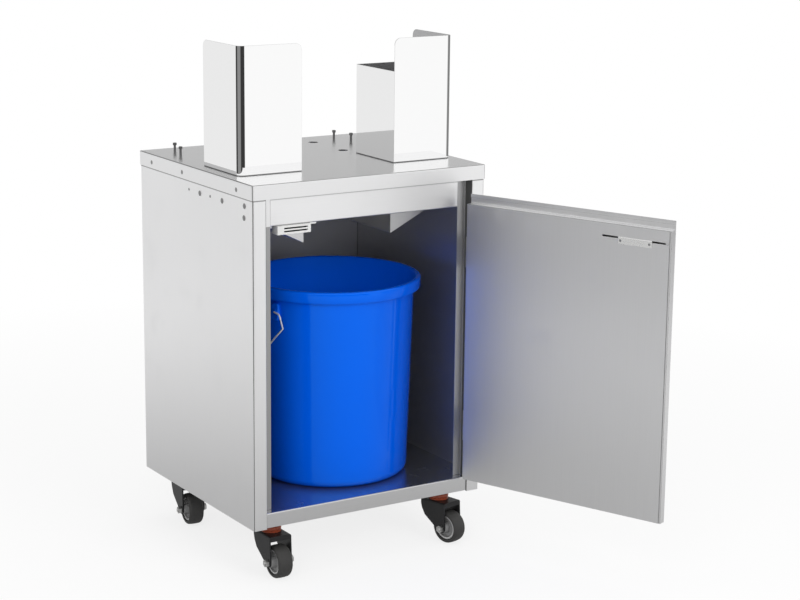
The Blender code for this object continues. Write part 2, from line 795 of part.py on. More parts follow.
def make_bucket(plastic):
    """A tapered pail: inside from the base up, over the rolled rim, and down the outside."""
    rim_low = BUCKET_HEIGHT - RIM_HEIGHT
    base_centre = (BUCKET_BASE_RADIUS - BUCKET_BASE_ROUND, BUCKET_BASE_ROUND)
    rim_centre = (RIM_RADIUS - RIM_ROUND, BUCKET_HEIGHT - RIM_ROUND)
    rim_edge = RIM_ROUND / 2
    profile = [(0.0, BUCKET_WALL)]
    profile += arc(base_centre, BUCKET_BASE_ROUND - BUCKET_WALL, -RIGHT_ANGLE, 0.0, FOLD_STEPS)
    profile.append((BUCKET_MOUTH_RADIUS - BUCKET_WALL, rim_low))
    profile.append((BUCKET_MOUTH_RADIUS + BUCKET_WALL, BUCKET_HEIGHT - rim_edge))
    profile += arc(rim_centre, RIM_ROUND, RIGHT_ANGLE, 0.0, FOLD_STEPS)
    profile.append((RIM_RADIUS, rim_low + rim_edge))
    profile.append((RIM_RADIUS - rim_edge, rim_low))
    profile.append((BUCKET_MOUTH_RADIUS, rim_low))
    profile += arc(base_centre, BUCKET_BASE_ROUND, 0.0, -RIGHT_ANGLE, FOLD_STEPS)
    profile.append((0.0, 0.0))
    bucket = turned("bucket", profile, BUCKET_STEPS, plastic)
    bucket.location = BUCKET_CENTRE
    bucket.rotation_euler = (0.0, 0.0, math.radians(EAR_TURN_DEGREES))
    ear_height = BUCKET_HEIGHT - EAR_DROP
    for side in (-1, 1):
        start = wall_radius(ear_height) - BUCKET_WALL
        reach = sorted((side * start, side * (start + BUCKET_WALL + EAR_REACH)))
        ear = block(
            f"bucket ear {side}",
            (reach[0], -EAR_WIDTH / 2, ear_height - EAR_HEIGHT / 2),
            (reach[1], EAR_WIDTH / 2, ear_height + EAR_HEIGHT / 2),
            bevel=BUCKET_WALL / 2,
        )
        ear.parent = bucket
        unite(bucket, ear)
        hole_ring = ring((0.0, ear_height), WIRE_RADIUS + WIRE_CLEARANCE, ROUND_STEPS)
        past = sorted((side * (start - EAR_REACH), side * (start + 3 * EAR_REACH)))
        hole = prism(f"bucket ear hole {side}", hole_ring, "X", past[0], past[1])
        hole.parent = bucket
        cut(bucket, hole)
    return bucket


def bail_route():
    """Points of the wire from one ear to the other, about the ear axis, back along +Y."""
    half = wall_radius(BUCKET_HEIGHT - EAR_DROP) + EAR_REACH + BAIL_OVERHANG
    slope = math.radians(BAIL_SLOPE_DEGREES)
    knee = Vector((0.0, -CRANK_FORWARD, -CRANK_DOWN))
    along = Vector((0.0, math.cos(slope), -math.sin(slope)))
    clear = wall_radius(BUCKET_HEIGHT / 2) + BAIL_WALL_GAP + WIRE_RADIUS
    reach = (clear + CRANK_FORWARD) / math.cos(slope)
    end_inside = half - BAIL_OVERHANG - EAR_REACH
    bend = BAIL_OVERHANG
    one_side = [
        Vector((end_inside, 0.0, 0.0)),
        Vector((half - bend, 0.0, 0.0)),
        Vector((half - bend / 4, -bend / 4, 0.0)),
        Vector((half, -bend, 0.0)),
        Vector((half, -HOOK_FORWARD + bend, -HOOK_DOWN / 2)),
        Vector((half, -HOOK_FORWARD, -HOOK_DOWN)),
        Vector((half, -HOOK_FORWARD - bend / 2, -HOOK_DOWN - bend)),
    ]
    bow = []
    for step in range(BAIL_STEPS + 1):
        turn = math.pi * step / BAIL_STEPS
        bow.append(knee + along * (reach * math.sin(turn)) + Vector((half * math.cos(turn), 0.0, 0.0)))
    other_side = [Vector((-point.x, point.y, point.z)) for point in reversed(one_side)]
    return one_side + bow + other_side


def make_bail(zinc):
    curve = bpy.data.curves.new("bail_handle", "CURVE")
    curve.dimensions = "3D"
    curve.bevel_depth = WIRE_RADIUS
    curve.bevel_resolution = 2
    curve.use_fill_caps = True
    spline = curve.splines.new("POLY")
    route = bail_route()
    spline.points.add(len(route) - 1)
    for point, place_at in zip(spline.points, route):
        point.co = (*place_at, 1.0)
    curve.materials.append(zinc)
    bail = bpy.data.objects.new("bail_handle", curve)
    bpy.context.scene.collection.objects.link(bail)
    bail.location = BUCKET_CENTRE + Vector((0.0, 0.0, BUCKET_HEIGHT - EAR_DROP))
    bail.rotation_euler = (0.0, 0.0, math.radians(EAR_TURN_DEGREES))
    return bail


# Casters

def make_caster_plate(word, place_at, black):
    """Mounting plate with the bearing cup and the king pin that carries the fork."""
    half = CASTER_PLATE_SIDE / 2
    plate_top = TRAY_BOTTOM - SEAT_GAP
    plate_low = plate_top - CASTER_PLATE_THICKNESS
    cup_low = plate_low - CUP_HEIGHT
    crown_low = fork_crown_top() - FORK_SHEET
    head_top = crown_low - SEAT_GAP
    plate = block(
        f"{word}_caster_plate",
        (place_at.x - half, place_at.y - half, plate_low),
        (place_at.x + half, place_at.y + half, plate_top),
        black,
    )
    profile = [
        (0.0, plate_low + CASTER_PLATE_THICKNESS / 2),
        (CUP_RADIUS, plate_low + CASTER_PLATE_THICKNESS / 2),
        (CUP_RADIUS, cup_low),
        (KING_PIN_RADIUS, cup_low),
        (KING_PIN_RADIUS, head_top),
        (KING_PIN_HEAD_RADIUS, head_top),
        (KING_PIN_RADIUS, head_top - KING_PIN_HEAD),
        (0.0, head_top - KING_PIN_HEAD),
    ]
    pin = turned(f"{word} king pin", profile, CASTER_STEPS)
    pin.location = (place_at.x, place_at.y, 0.0)
    return unite(plate, pin)


def ring_top():
    return TRAY_BOTTOM - SEAT_GAP - CASTER_PLATE_THICKNESS - CUP_HEIGHT - SEAT_GAP


def fork_crown_top():
    return ring_top() - RING_HEIGHT - SEAT_GAP


def make_swivel_ring(word, place_at, seal):
    """The dust ring between the bearing cup and the fork."""
    top = ring_top()
    low = top - RING_HEIGHT
    bore = KING_PIN_RADIUS + RING_BORE_CLEARANCE
    waist = RING_RADIUS - RING_GROOVE
    profile = [
        (bore, top),
        (waist, top),
        (RING_RADIUS, top - RING_HEIGHT / 4),
        (RING_RADIUS, top - RING_HEIGHT / 2),
        (waist, low + RING_HEIGHT / 3),
        (RING_RADIUS, low + RING_HEIGHT / 6),
        (RING_RADIUS, low),
        (bore, low),
    ]
    dust_ring = turned(f"{word}_swivel_ring", profile, CASTER_STEPS, seal)
    dust_ring.location = (place_at.x, place_at.y, 0.0)
    return dust_ring


def make_fork(word, holder, black):
    """A pressed fork: a channel trimmed to the outline of its legs, with a lip across the front."""
    top = fork_crown_top()
    half = FORK_WIDTH / 2
    axle = (-CASTER_TRAIL, WHEEL_RADIUS)
    foot = WHEEL_RADIUS - FORK_BOSS_RADIUS
    path = [(-half, foot - FORK_SHEET), (-half, top), (half, top), (half, foot - FORK_SHEET)]
    path = rounded(path, FORK_FOLD_RADIUS)
    fork = folded(f"{word}_fork", path, "Y", -FORK_FRONT - FORK_SHEET, FORK_REAR + FORK_SHEET, black)
    fork.modifiers["sheet thickness"].thickness = FORK_SHEET
    outline = [(-FORK_FRONT, top + FORK_SHEET), (-FORK_FRONT, top - FORK_FRONT_LIP)]
    outline += arc(axle, FORK_BOSS_RADIUS, -math.pi, -RIGHT_ANGLE / 2, CORNER_STEPS)
    outline += [
        (FORK_HEEL_BACK, FORK_HEEL_HEIGHT),
        (FORK_SHOULDER_BACK, FORK_SHOULDER_HEIGHT),
        (FORK_REAR, top - FORK_FRONT_LIP),
        (FORK_REAR, top + FORK_SHEET),
    ]
    trim = prism(f"{word} fork outline", outline, "X", -FORK_WIDTH, FORK_WIDTH)
    combine(fork, trim, "INTERSECT")
    lip = block(
        f"{word} fork lip",
        (-half + FORK_SHEET / 2, -FORK_FRONT, top - FORK_FRONT_LIP),
        (half - FORK_SHEET / 2, -FORK_FRONT + FORK_SHEET, top - FORK_SHEET / 2),
    )
    unite(fork, lip)
    king = prism(
        f"{word} king pin hole",
        ring((0.0, 0.0), KING_PIN_RADIUS + SEAT_GAP, CASTER_STEPS),
        "Z",
        top - 2 * FORK_SHEET,
        top + FORK_SHEET,
    )
    cut(fork, king)
    axle_ring = ring(axle, AXLE_RADIUS + AXLE_CLEARANCE, ROUND_STEPS)
    axle_hole = prism(f"{word} axle hole", axle_ring, "X", -FORK_WIDTH, FORK_WIDTH)
    cut(fork, axle_hole)
    for piece in (fork, trim, lip, king, axle_hole):
        piece.parent = holder


def hexagon(across_flats):
    return ring((0.0, 0.0), across_flats / math.sqrt(3), 6)


def make_axle(word, axle, zinc):
    """A bolt through both legs, its head on the right and its nut on the left."""
    leg = FORK_WIDTH / 2 + SEAT_GAP
    tip = leg + NUT_THICKNESS + BOLT_END
    profile = [
        (0.0, leg + BOLT_HEAD_THICKNESS / 2),
        (AXLE_RADIUS, leg + BOLT_HEAD_THICKNESS / 2),
        (AXLE_RADIUS, -tip + BOLT_END / 2),
        (AXLE_RADIUS - BOLT_END / 2, -tip),
        (0.0, -tip),
    ]
    bolt = lie_along_x(turned(f"{word}_axle_bolt", profile, ROUND_STEPS, zinc))
    head = prism(f"{word} bolt head", hexagon(NUT_ACROSS_FLATS), "Z", leg, leg + BOLT_HEAD_THICKNESS)
    head.parent = bolt
    unite(bolt, head)
    nut = prism(f"{word}_axle_nut", hexagon(NUT_ACROSS_FLATS), "Z", -leg - NUT_THICKNESS, -leg, zinc)
    lie_along_x(nut)
    bore_ring = ring((0.0, 0.0), AXLE_RADIUS + SEAT_GAP, ROUND_STEPS)
    bore = prism(f"{word} nut bore", bore_ring, "Z", -leg - 2 * NUT_THICKNESS, -leg + NUT_THICKNESS)
    bore.parent = nut
    cut(nut, bore)
    bolt.parent = axle
    nut.parent = axle


def make_wheel(word, axle, rim_plastic, rubber):
    """A dished rim that runs on the axle bolt, and the tyre round it."""
    half = TYRE_WIDTH / 2
    seat = WHEEL_RADIUS - TYRE_DEPTH
    bore = AXLE_RADIUS + AXLE_CLEARANCE
    hub_half = FORK_WIDTH / 2 - FORK_SHEET - SEAT_GAP
    rim_half = half - TYRE_SHOULDER / 2
    dish = rim_half - RIM_FACE_DEPTH
    lip = seat - RIM_FACE_DEPTH
    one_face = [
        (bore, hub_half),
        (HUB_RADIUS, hub_half),
        (HUB_RADIUS + HUB_FLARE, dish),
        (lip - RIM_FACE_DEPTH / 2, dish),
        (lip, rim_half),
        (seat - SEAT_GAP, rim_half),
    ]
    profile = one_face + [(radius, -height) for radius, height in reversed(one_face)]
    rim = lie_along_x(turned(f"{word}_wheel_rim", profile, CASTER_STEPS, rim_plastic))
    shoulder_centre = (WHEEL_RADIUS - TYRE_SHOULDER, half - TYRE_SHOULDER)
    shoulder = arc(shoulder_centre, TYRE_SHOULDER, RIGHT_ANGLE, 0.0, SHOULDER_STEPS)
    tread = [(seat, half - SHEET), *shoulder]
    profile = tread + [(radius, -height) for radius, height in reversed(tread)]
    tyre = lie_along_x(turned(f"{word}_tyre", profile, TYRE_STEPS, rubber))
    rim.parent = axle
    tyre.parent = axle


def make_caster(word, x, y, finishes):
    place_at = Vector((x, y, 0.0))
    make_caster_plate(word, place_at, finishes["black"])
    make_swivel_ring(word, place_at, finishes["seal"])
    swivel = empty(f"{word} swivel", place_at, turn=math.radians(CASTER_TURN_DEGREES[word]))
    make_fork(word, swivel, finishes["black"])
    axle = empty(f"{word} axle", (0.0, -CASTER_TRAIL, WHEEL_RADIUS), parent=swivel)
    make_axle(word, axle, finishes["zinc"])
    make_wheel(word, axle, finishes["rim"], finishes["rubber"])


def main():
    for leftover in list(bpy.data.objects):
        bpy.data.objects.remove(leftover)

    finishes = {
        "steel": finish("brushed stainless", (0.60, 0.60, 0.60), 0.32, 1.0),
        "mirror": finish("mirror stainless", (0.82, 0.82, 0.82), 0.06, 1.0),
        "zinc": finish("zinc plated steel", (0.55, 0.55, 0.54), 0.35, 1.0),
        "white": finish("white plastic", (0.80, 0.80, 0.79), 0.40, 0.0),
        "blue": finish("blue plastic", (0.005, 0.13, 0.80), 0.28, 0.0),
        "black": finish("black coated steel", (0.02, 0.02, 0.02), 0.40, 0.0),
        "seal": finish("red brown seal", (0.28, 0.05, 0.02), 0.50, 0.0),
        "rim": finish("grey wheel plastic", (0.22, 0.22, 0.22), 0.45, 0.0),
        "rubber": finish("black rubber", (0.03, 0.03, 0.03), 0.65, 0.0),
    }
    steel = finishes["steel"]

    make_side_panel("left_side_panel", True, steel)
    make_side_panel("right_side_panel", False, steel)
    make_back_panel(steel)
    make_base_tray(steel)
    make_caster_channel("front_caster_channel", FRONT + CASTER_FRONT_INSET, steel)
    make_caster_channel("rear_caster_channel", BACK - CASTER_REAR_INSET, steel)
    make_header(steel)
    make_top_plate(steel)
    make_studs(finishes["zinc"])
    for hand, word in ((-1, "left"), (1, "right")):
        make_chute(f"{word}_chute", hand, finishes["mirror"])
        make_deflector(f"{word}_deflector", hand, steel)
    make_catch(finishes["white"])

    hinge = empty("door hinge", HINGE_AXIS, turn=math.radians(DOOR_OPEN_DEGREES))
    make_door(steel, finishes["zinc"], hinge)
    make_hinge("upper", LINER_TOP - HINGE_END_INSET - HINGE_LENGTH, hinge, finishes["zinc"])
    make_hinge("lower", DOOR_BOTTOM + HINGE_END_INSET, hinge, finishes["zinc"])

    make_bucket(finishes["blue"])
    make_bail(finishes["zinc"])

    caster_x = SIDE - CASTER_SIDE_INSET
    front_y = FRONT + CASTER_FRONT_INSET
    rear_y = BACK - CASTER_REAR_INSET
    make_caster("front_left", -caster_x, front_y, finishes)
    make_caster("front_right", caster_x, front_y, finishes)
    make_caster("rear_left", -caster_x, rear_y, finishes)
    make_caster("rear_right", caster_x, rear_y, finishes)


main()
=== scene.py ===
# %% [markdown]
# # A mobile base cabinet, dressed for its picture
# The solids of the cabinet come in as a fixed frame: every panel, hinge and wheel is already where it
# belongs. This lesson gives them their finishes, swaps the round pieces for finer ones, and adds the small
# fasteners.

# %% Load the frame
import json
import math

import bmesh
import bpy
from mathutils import Matrix, Quaternion, Vector


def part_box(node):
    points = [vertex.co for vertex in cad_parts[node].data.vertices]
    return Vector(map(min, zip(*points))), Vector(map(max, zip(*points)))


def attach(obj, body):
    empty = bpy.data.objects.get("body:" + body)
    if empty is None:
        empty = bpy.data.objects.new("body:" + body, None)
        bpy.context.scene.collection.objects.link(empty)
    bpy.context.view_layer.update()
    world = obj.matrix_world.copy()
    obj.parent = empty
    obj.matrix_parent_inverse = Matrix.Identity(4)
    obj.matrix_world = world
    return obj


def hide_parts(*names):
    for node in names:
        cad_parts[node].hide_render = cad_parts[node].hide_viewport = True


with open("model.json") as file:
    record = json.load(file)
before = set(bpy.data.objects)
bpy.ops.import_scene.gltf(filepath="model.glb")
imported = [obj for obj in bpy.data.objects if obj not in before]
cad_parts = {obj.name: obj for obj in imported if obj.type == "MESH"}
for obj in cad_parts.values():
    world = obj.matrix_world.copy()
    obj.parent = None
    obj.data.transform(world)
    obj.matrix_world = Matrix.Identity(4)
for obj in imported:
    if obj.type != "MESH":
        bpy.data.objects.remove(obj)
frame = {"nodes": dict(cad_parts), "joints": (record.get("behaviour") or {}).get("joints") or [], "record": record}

nodes = frame["nodes"]
record = frame["record"]
joints = {joint["name"]: joint for joint in frame["joints"]}
scene = bpy.context.scene
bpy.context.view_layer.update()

# %% [markdown]
# ## The camera
# The picture was taken from the front left with a long lens, so upright edges hardly lean together. A
# camera can be aimed at an empty, but here its place, its two angles and a slight tilt are known, so they
# are set straight on the camera. The sensor is the usual 36 mm wide.

# %% Camera
CAMERA_PLACE = Vector((-1.9445, -3.3954, 1.3765))
CAMERA_AZIMUTH = math.radians(32.401)
CAMERA_ELEVATION = math.radians(13.027)
CAMERA_TILT = math.radians(0.635)
LENS_MM = 91.83
SENSOR_MM = 36.0


def new_object(name, data):
    """A new object, linked to the scene."""
    made = bpy.data.objects.new(name, data)
    scene.collection.objects.link(made)
    return made


away = Vector((
    -math.sin(CAMERA_AZIMUTH) * math.cos(CAMERA_ELEVATION),
    -math.cos(CAMERA_AZIMUTH) * math.cos(CAMERA_ELEVATION),
    math.sin(CAMERA_ELEVATION),
))
camera = new_object("camera", bpy.data.cameras.new("camera"))
camera.location = CAMERA_PLACE
camera.rotation_mode = "QUATERNION"
camera.rotation_quaternion = (-away).to_track_quat("-Z", "Y") @ Quaternion((0.0, 0.0, 1.0), CAMERA_TILT)
camera.data.lens = LENS_MM
camera.data.sensor_width = SENSOR_MM
camera.data.sensor_fit = "HORIZONTAL"
scene.camera = camera
print("camera at", [round(value, 3) for value in camera.location])

# %% [markdown]
# ## Small helpers for node trees
# The world, the floor and every finish are node trees. A tree can be drawn by hand in the editor. In a
# script it is shorter to have a few helpers that add a node, link sockets, do arithmetic and mix two
# values.

# %% Node helpers


def add(tree, kind, **settings):
    """Adds a node to a tree and sets its plain properties."""
    made = tree.nodes.new(kind)
    for name, value in settings.items():
        setattr(made, name, value)
    return made


def join(tree, source, target):
    """Links an output socket to an input socket; a plain source becomes the input's own value."""
    if isinstance(source, bpy.types.NodeSocket):
        tree.links.new(source, target)
    else:
        target.default_value = source


def feed(tree, node, **sources):
    """Joins sources to a node's inputs by name, an underscore for a blank, and gives the node."""
    for name, source in sources.items():
        join(tree, source, node.inputs[name.replace("_", " ")])
    return node


def chain(tree, *steps):
    """Links each node's first output to the first input of the next node."""
    for before, after in zip(steps, steps[1:]):
        join(tree, before.outputs[0], after.inputs[0])


def number(tree, operation, *values):
    """A math node on numbers or output sockets; gives its result socket."""
    made = add(tree, "ShaderNodeMath", operation=operation)
    for socket, value in zip(made.inputs, values):
        join(tree, value, socket)
    return made.outputs[0]


def ramp(tree, value, first, last, at_first, at_last):
    """Carries a value from one span to another and holds it at both ends."""
    made = add(tree, "ShaderNodeMapRange")
    feed(tree, made, Value=value, From_Min=first, From_Max=last, To_Min=at_first, To_Max=at_last)
    return made.outputs["Result"]


def blended(tree, share, first, second):
    """Mixes two numbers; the share is that of the second."""
    made = add(tree, "ShaderNodeMix", data_type="FLOAT")
    return feed(tree, made, Factor=share, A=first, B=second).outputs["Result"]


def mix_shaders(tree, share, first, second, output):
    """Mixes two shaders and sends the result to the tree's output; the share is that of the second."""
    made = feed(tree, add(tree, "ShaderNodeMixShader"), Fac=share)
    join(tree, first.outputs[0], made.inputs[1])
    join(tree, second.outputs[0], made.inputs[2])
    chain(tree, made, output)


def ray_masks(tree):
    """Two masks: for what the camera sees straight on, and for what it sees in polished metal."""
    path = add(tree, "ShaderNodeLightPath")
    in_metal = number(tree, "MAXIMUM", path.outputs["Is Glossy Ray"], path.outputs["Is Transmission Ray"])
    return path.outputs["Is Camera Ray"], in_metal


print("helpers ready")

# %% [markdown]
# ## The room
# Polished sheet shows its surroundings more than its own colour, so the surroundings are the real light
# here. A photographed room could be wrapped round the scene as an image. A few masks on the viewing
# direction do the same and stay readable: the room is white, with a narrow dark belt low down behind the
# camera, paler in its middle. The bends of the polished chutes pick that belt up as thin dark lines. The
# wall behind the cabinet is a calm grey, which tones the worktop, the left wall is a little off white and
# the right one dark low down. Dull surfaces get a plain, weaker light from all round.

# %% World
ROOM_FILL = 0.55
BELT_AZIMUTH = 211.0
BELT_EDGE = (0.17, 0.25)
BELT_TOP = (-0.06, -0.03)
BELT_FOOT = (-0.24, -0.19)
BELT_DARK = 0.04
BELT_MIDDLE_AZIMUTH = 196.0
BELT_MIDDLE_EDGE = (0.83, 0.92)
BELT_MIDDLE = 0.26
REAR_AZIMUTH = 92.0
REAR_HEIGHT = 0.25
REAR_EDGE = (0.52, 0.78)
REAR_FOOT = (0.05, 0.15)
REAR_LOSS = 0.54
LEFT_AZIMUTH = 115.0
LEFT_EDGE = (0.80, 0.95)
LEFT_LOSS = 0.14
RIGHT_AZIMUTH = 8.0
RIGHT_EDGE = (0.62, 0.76)
RIGHT_LOSS = 0.78
WHITE = (1.0, 1.0, 1.0, 1.0)

world = bpy.data.worlds.new("white room")
scene.world = world
world.use_nodes = True
room = world.node_tree
room.nodes.clear()
gaze = add(room, "ShaderNodeTexCoord").outputs["Generated"]
split = add(room, "ShaderNodeSeparateXYZ")
join(room, gaze, split.inputs[0])
gaze_height = split.outputs["Z"]


def wall(azimuth_degrees, edge, at_first, at_last, height=0.0):
    """A value that changes with how closely the gaze points to one place on the horizon or above it."""
    azimuth = math.radians(azimuth_degrees)
    towards = add(room, "ShaderNodeVectorMath", operation="DOT_PRODUCT")
    join(room, gaze, towards.inputs[0])
    join(room, Vector((math.cos(azimuth), math.sin(azimuth), height)).normalized(), towards.inputs[1])
    return ramp(room, towards.outputs["Value"], *edge, at_first, at_last)


below_top = ramp(room, gaze_height, *BELT_TOP, 1.0, 0.0)
low_down = number(room, "MULTIPLY", below_top, ramp(room, gaze_height, *BELT_FOOT, 0.0, 1.0))
behind = number(room, "MULTIPLY", low_down, wall(BELT_AZIMUTH, BELT_EDGE, 0.0, 1.0))
belt_loss = wall(BELT_MIDDLE_AZIMUTH, BELT_MIDDLE_EDGE, 1.0 - BELT_DARK, 1.0 - BELT_MIDDLE)
belt = number(room, "MULTIPLY", behind, belt_loss)
rear = wall(REAR_AZIMUTH, REAR_EDGE, 0.0, REAR_LOSS, REAR_HEIGHT)
rear = number(room, "MULTIPLY", rear, ramp(room, gaze_height, *REAR_FOOT, 0.0, 1.0))
left_wall = wall(LEFT_AZIMUTH, LEFT_EDGE, 0.0, LEFT_LOSS)
right_wall = number(room, "MULTIPLY", wall(RIGHT_AZIMUTH, RIGHT_EDGE, 0.0, RIGHT_LOSS), low_down)
dark_parts = number(room, "MAXIMUM", belt, right_wall)
lost = number(room, "MAXIMUM", dark_parts, number(room, "MAXIMUM", rear, left_wall))

to_eye, to_metal = ray_masks(room)
reflected = blended(room, to_metal, 1.0, number(room, "SUBTRACT", 1.0, lost))
seen = feed(room, add(room, "ShaderNodeBackground"), Color=WHITE, Strength=reflected)
fill = feed(room, add(room, "ShaderNodeBackground"), Color=WHITE, Strength=ROOM_FILL)
clear_view = number(room, "MAXIMUM", to_eye, to_metal)
mix_shaders(room, clear_view, fill, seen, add(room, "ShaderNodeOutputWorld"))
scene.view_settings.view_transform = "Standard"
print("room ready, nodes:", len(room.nodes))

# %% [markdown]
# ## Lamps
# One sun lamp would throw hard shadows, so there are three softboxes, as in a small studio. They are there
# for the dull surfaces: plastic, rubber and the floor's shadow. They stay out of reflections, because a
# bright square mirrored in a bend or in the worktop would be pure white. Each has a place, a point that it
# is aimed at, a size in metres and a power in watts.

# %% Lamps
LAMPS = {
    "front left softbox": ((-2.2, -2.6, 2.0), (0.0, -0.1, 0.45), 1.8, 42.0),
    "front right softbox": ((0.55, -3.1, 1.6), (0.0, -0.1, 0.40), 1.4, 31.0),
    "overhead softbox": ((0.1, 0.2, 3.0), (0.0, 0.0, 0.7), 2.2, 16.0),
}

for name, (place, target, size, power) in LAMPS.items():
    lamp = new_object(name, bpy.data.lights.new(name, "AREA"))
    lamp.location = place
    lamp.rotation_mode = "QUATERNION"
    lamp.rotation_quaternion = (Vector(target) - Vector(place)).to_track_quat("-Z", "Y")
    lamp.data.size = size
    lamp.data.energy = power
    lamp.visible_glossy = False
print("lamps:", len(LAMPS))

# %% [markdown]
# ## The floor
# A white paper floor that fades into the white room. Full white would lose the shadow that puts the cabinet
# on the ground, so near the middle a part of the real shading is kept. Reflections see the paper with a
# painted shadow: it is greyer close to the cabinet, where it would stand in its own shade, and that is what
# darkens the foot of the panels and of the door.

# %% Floor
FLOOR_RADIUS = 2.3
FLOOR_STEPS = 96
PAPER_WHITE = 0.93
PAPER_ROUGHNESS = 0.9
FLOOR_GLOW = (0.78, 1.0)
FLOOR_FADE = (0.4, 2.1)
FLOOR_SHADOW_IN_METAL = (0.46, 0.95)
METAL_FADE = (0.5, 2.2)


def grey(level, more_blue=0.0):
    """A neutral colour, with a little more or less blue if asked."""
    return (level, level, level + more_blue)


def own_place(tree):
    """The place of a point on its own object, which a moving piece takes along."""
    return add(tree, "ShaderNodeTexCoord").outputs["Object"]


def start_material(name, **fixed):
    """A fresh material; gives it with its tree and its Principled shader, some inputs fixed."""
    material = bpy.data.materials.new(name)
    material.use_nodes = True
    tree = material.node_tree
    return material, tree, feed(tree, tree.nodes["Principled BSDF"], **fixed)


def mesh_from(name, bm):
    """Ends a bmesh and gives what it held as a mesh."""
    mesh = bpy.data.meshes.new(name)
    bm.to_mesh(mesh)
    bm.free()
    return mesh


floor_bm = bmesh.new()
bmesh.ops.create_circle(floor_bm, cap_ends=True, radius=FLOOR_RADIUS, segments=FLOOR_STEPS)
floor_mesh = mesh_from("floor", floor_bm)
floor = new_object("floor", floor_mesh)
paper, sheet, dull = start_material("white paper", Base_Color=(*grey(PAPER_WHITE), 1.0),
                                    Roughness=PAPER_ROUGHNESS, Specular_IOR_Level=0.0)
length = add(sheet, "ShaderNodeVectorMath", operation="LENGTH")
join(sheet, own_place(sheet), length.inputs[0])
distance = length.outputs["Value"]
to_eye, to_metal = ray_masks(sheet)
white_part = number(sheet, "MULTIPLY", to_eye, ramp(sheet, distance, *FLOOR_FADE, *FLOOR_GLOW))
# Painted shadow: seen in metal, the paper glows greyer close to the cabinet.
shaded = blended(sheet, to_metal, 1.0, ramp(sheet, distance, *METAL_FADE, *FLOOR_SHADOW_IN_METAL))
glow = feed(sheet, add(sheet, "ShaderNodeEmission"), Strength=shaded)
glow_part = number(sheet, "MAXIMUM", white_part, to_metal)
mix_shaders(sheet, glow_part, dull, glow, sheet.nodes["Material Output"])
floor_mesh.materials.append(paper)
print("floor radius:", FLOOR_RADIUS)

# %% [markdown]
# ## Brushed sheet
# Satin stainless is ground with a belt, which leaves fine lines along one way, slow clouds and a few smears
# from hands. An image of brushing would blur close up. Stretched noise stays sharp at any size. It is built
# once as a shader group with named inputs, so that all the sheet metal is brushed alike, and only the
# strength and the direction differ.

# %% Brushed sheet
NUMBER = "NodeSocketFloat"
POINT = "NodeSocketVector"
COLOUR = "NodeSocketColor"
CLOUD_SCALE = 6.0
SMEAR_SCALE = 17.0
SMEAR_EDGE = (0.60, 0.72)
NOISE_MIDDLE = 0.5


def new_group(kind, name, inputs, outputs):
    """A node group with named sockets, some with a default; gives the tree and its two ends."""
    tree = bpy.data.node_groups.new(name, kind)
    for socket, socket_type, *default in inputs:
        made = tree.interface.new_socket(socket, in_out="INPUT", socket_type=socket_type)
        if default:
            made.default_value = default[0]
    for socket, socket_type in outputs:
        tree.interface.new_socket(socket, in_out="OUTPUT", socket_type=socket_type)
    return tree, add(tree, "NodeGroupInput"), add(tree, "NodeGroupOutput")


def noise(tree, vector, scale, detail):
    """A noise texture; the scale is a number or a socket."""
    made = add(tree, "ShaderNodeTexNoise")
    return feed(tree, made, Vector=vector, Scale=scale, Detail=detail).outputs["Fac"]


def make_brushing():
    """Fine lines along one axis, slow cloudiness and a few handling smears."""
    tree, start, end = new_group(
        "ShaderNodeTree", "brushed sheet",
        [("Vector", POINT), ("Roughness", NUMBER, 0.3), ("Lines", NUMBER, 0.08),
         ("Clouds", NUMBER, 0.05), ("Contrast", NUMBER, 0.06)],
        [("Roughness", NUMBER), ("Height", NUMBER), ("Brightness", NUMBER)],
    )
    place = own_place(tree)
    lines = noise(tree, start.outputs["Vector"], scale=1.0, detail=3.0)
    clouds = noise(tree, place, CLOUD_SCALE, detail=4.0)
    smears = ramp(tree, noise(tree, place, SMEAR_SCALE, detail=2.0), *SMEAR_EDGE, 0.0, 1.0)
    cloud_part = number(tree, "MULTIPLY", number(tree, "ADD", clouds, smears), start.outputs["Clouds"])
    lined = number(tree, "MULTIPLY_ADD", lines, start.outputs["Lines"], start.outputs["Roughness"])
    swing = number(tree, "SUBTRACT", lines, NOISE_MIDDLE)
    bright = number(tree, "MULTIPLY_ADD", swing, start.outputs["Contrast"], 1.0)
    feed(tree, end, Height=lines, Brightness=bright, Roughness=number(tree, "ADD", lined, cloud_part))
    return tree


brushed_sheet = make_brushing()
print("group:", brushed_sheet.name)

# %% [markdown]
# ## Moulded grain
# Plastic, rubber and coatings have a fine grain from their mould or spray, and their tone drifts slowly
# over a piece. One texture could do both, but two noises in a group let each material set grain and drift
# by itself.

# %% Moulded grain
PATCH_SCALE = 14.0
FIRST_COLOUR = 6
SECOND_COLOUR = 7
MIXED_COLOUR = 2


def make_grain():
    """Small grain with slow patches; a Mix node's colour sockets are found by their place in its list."""
    tree, start, end = new_group(
        "ShaderNodeTree", "moulded grain",
        [("Colour", COLOUR), ("Patch Colour", COLOUR), ("Grain Scale", NUMBER, 900.0),
         ("Patches", NUMBER, 0.3), ("Roughness", NUMBER, 0.4), ("Spread", NUMBER, 0.1)],
        [("Colour", COLOUR), ("Roughness", NUMBER), ("Height", NUMBER)],
    )
    place = own_place(tree)
    patches = noise(tree, place, PATCH_SCALE, detail=5.0)
    share = number(tree, "MULTIPLY", patches, start.outputs["Patches"])
    tint = feed(tree, add(tree, "ShaderNodeMix", data_type="RGBA"), Factor=share)
    join(tree, start.outputs["Colour"], tint.inputs[FIRST_COLOUR])
    join(tree, start.outputs["Patch Colour"], tint.inputs[SECOND_COLOUR])
    rough = number(tree, "MULTIPLY_ADD", patches, start.outputs["Spread"], start.outputs["Roughness"])
    grain = noise(tree, place, start.outputs["Grain Scale"], detail=2.0)
    feed(tree, end, Colour=tint.outputs[MIXED_COLOUR], Roughness=rough, Height=grain)
    return tree


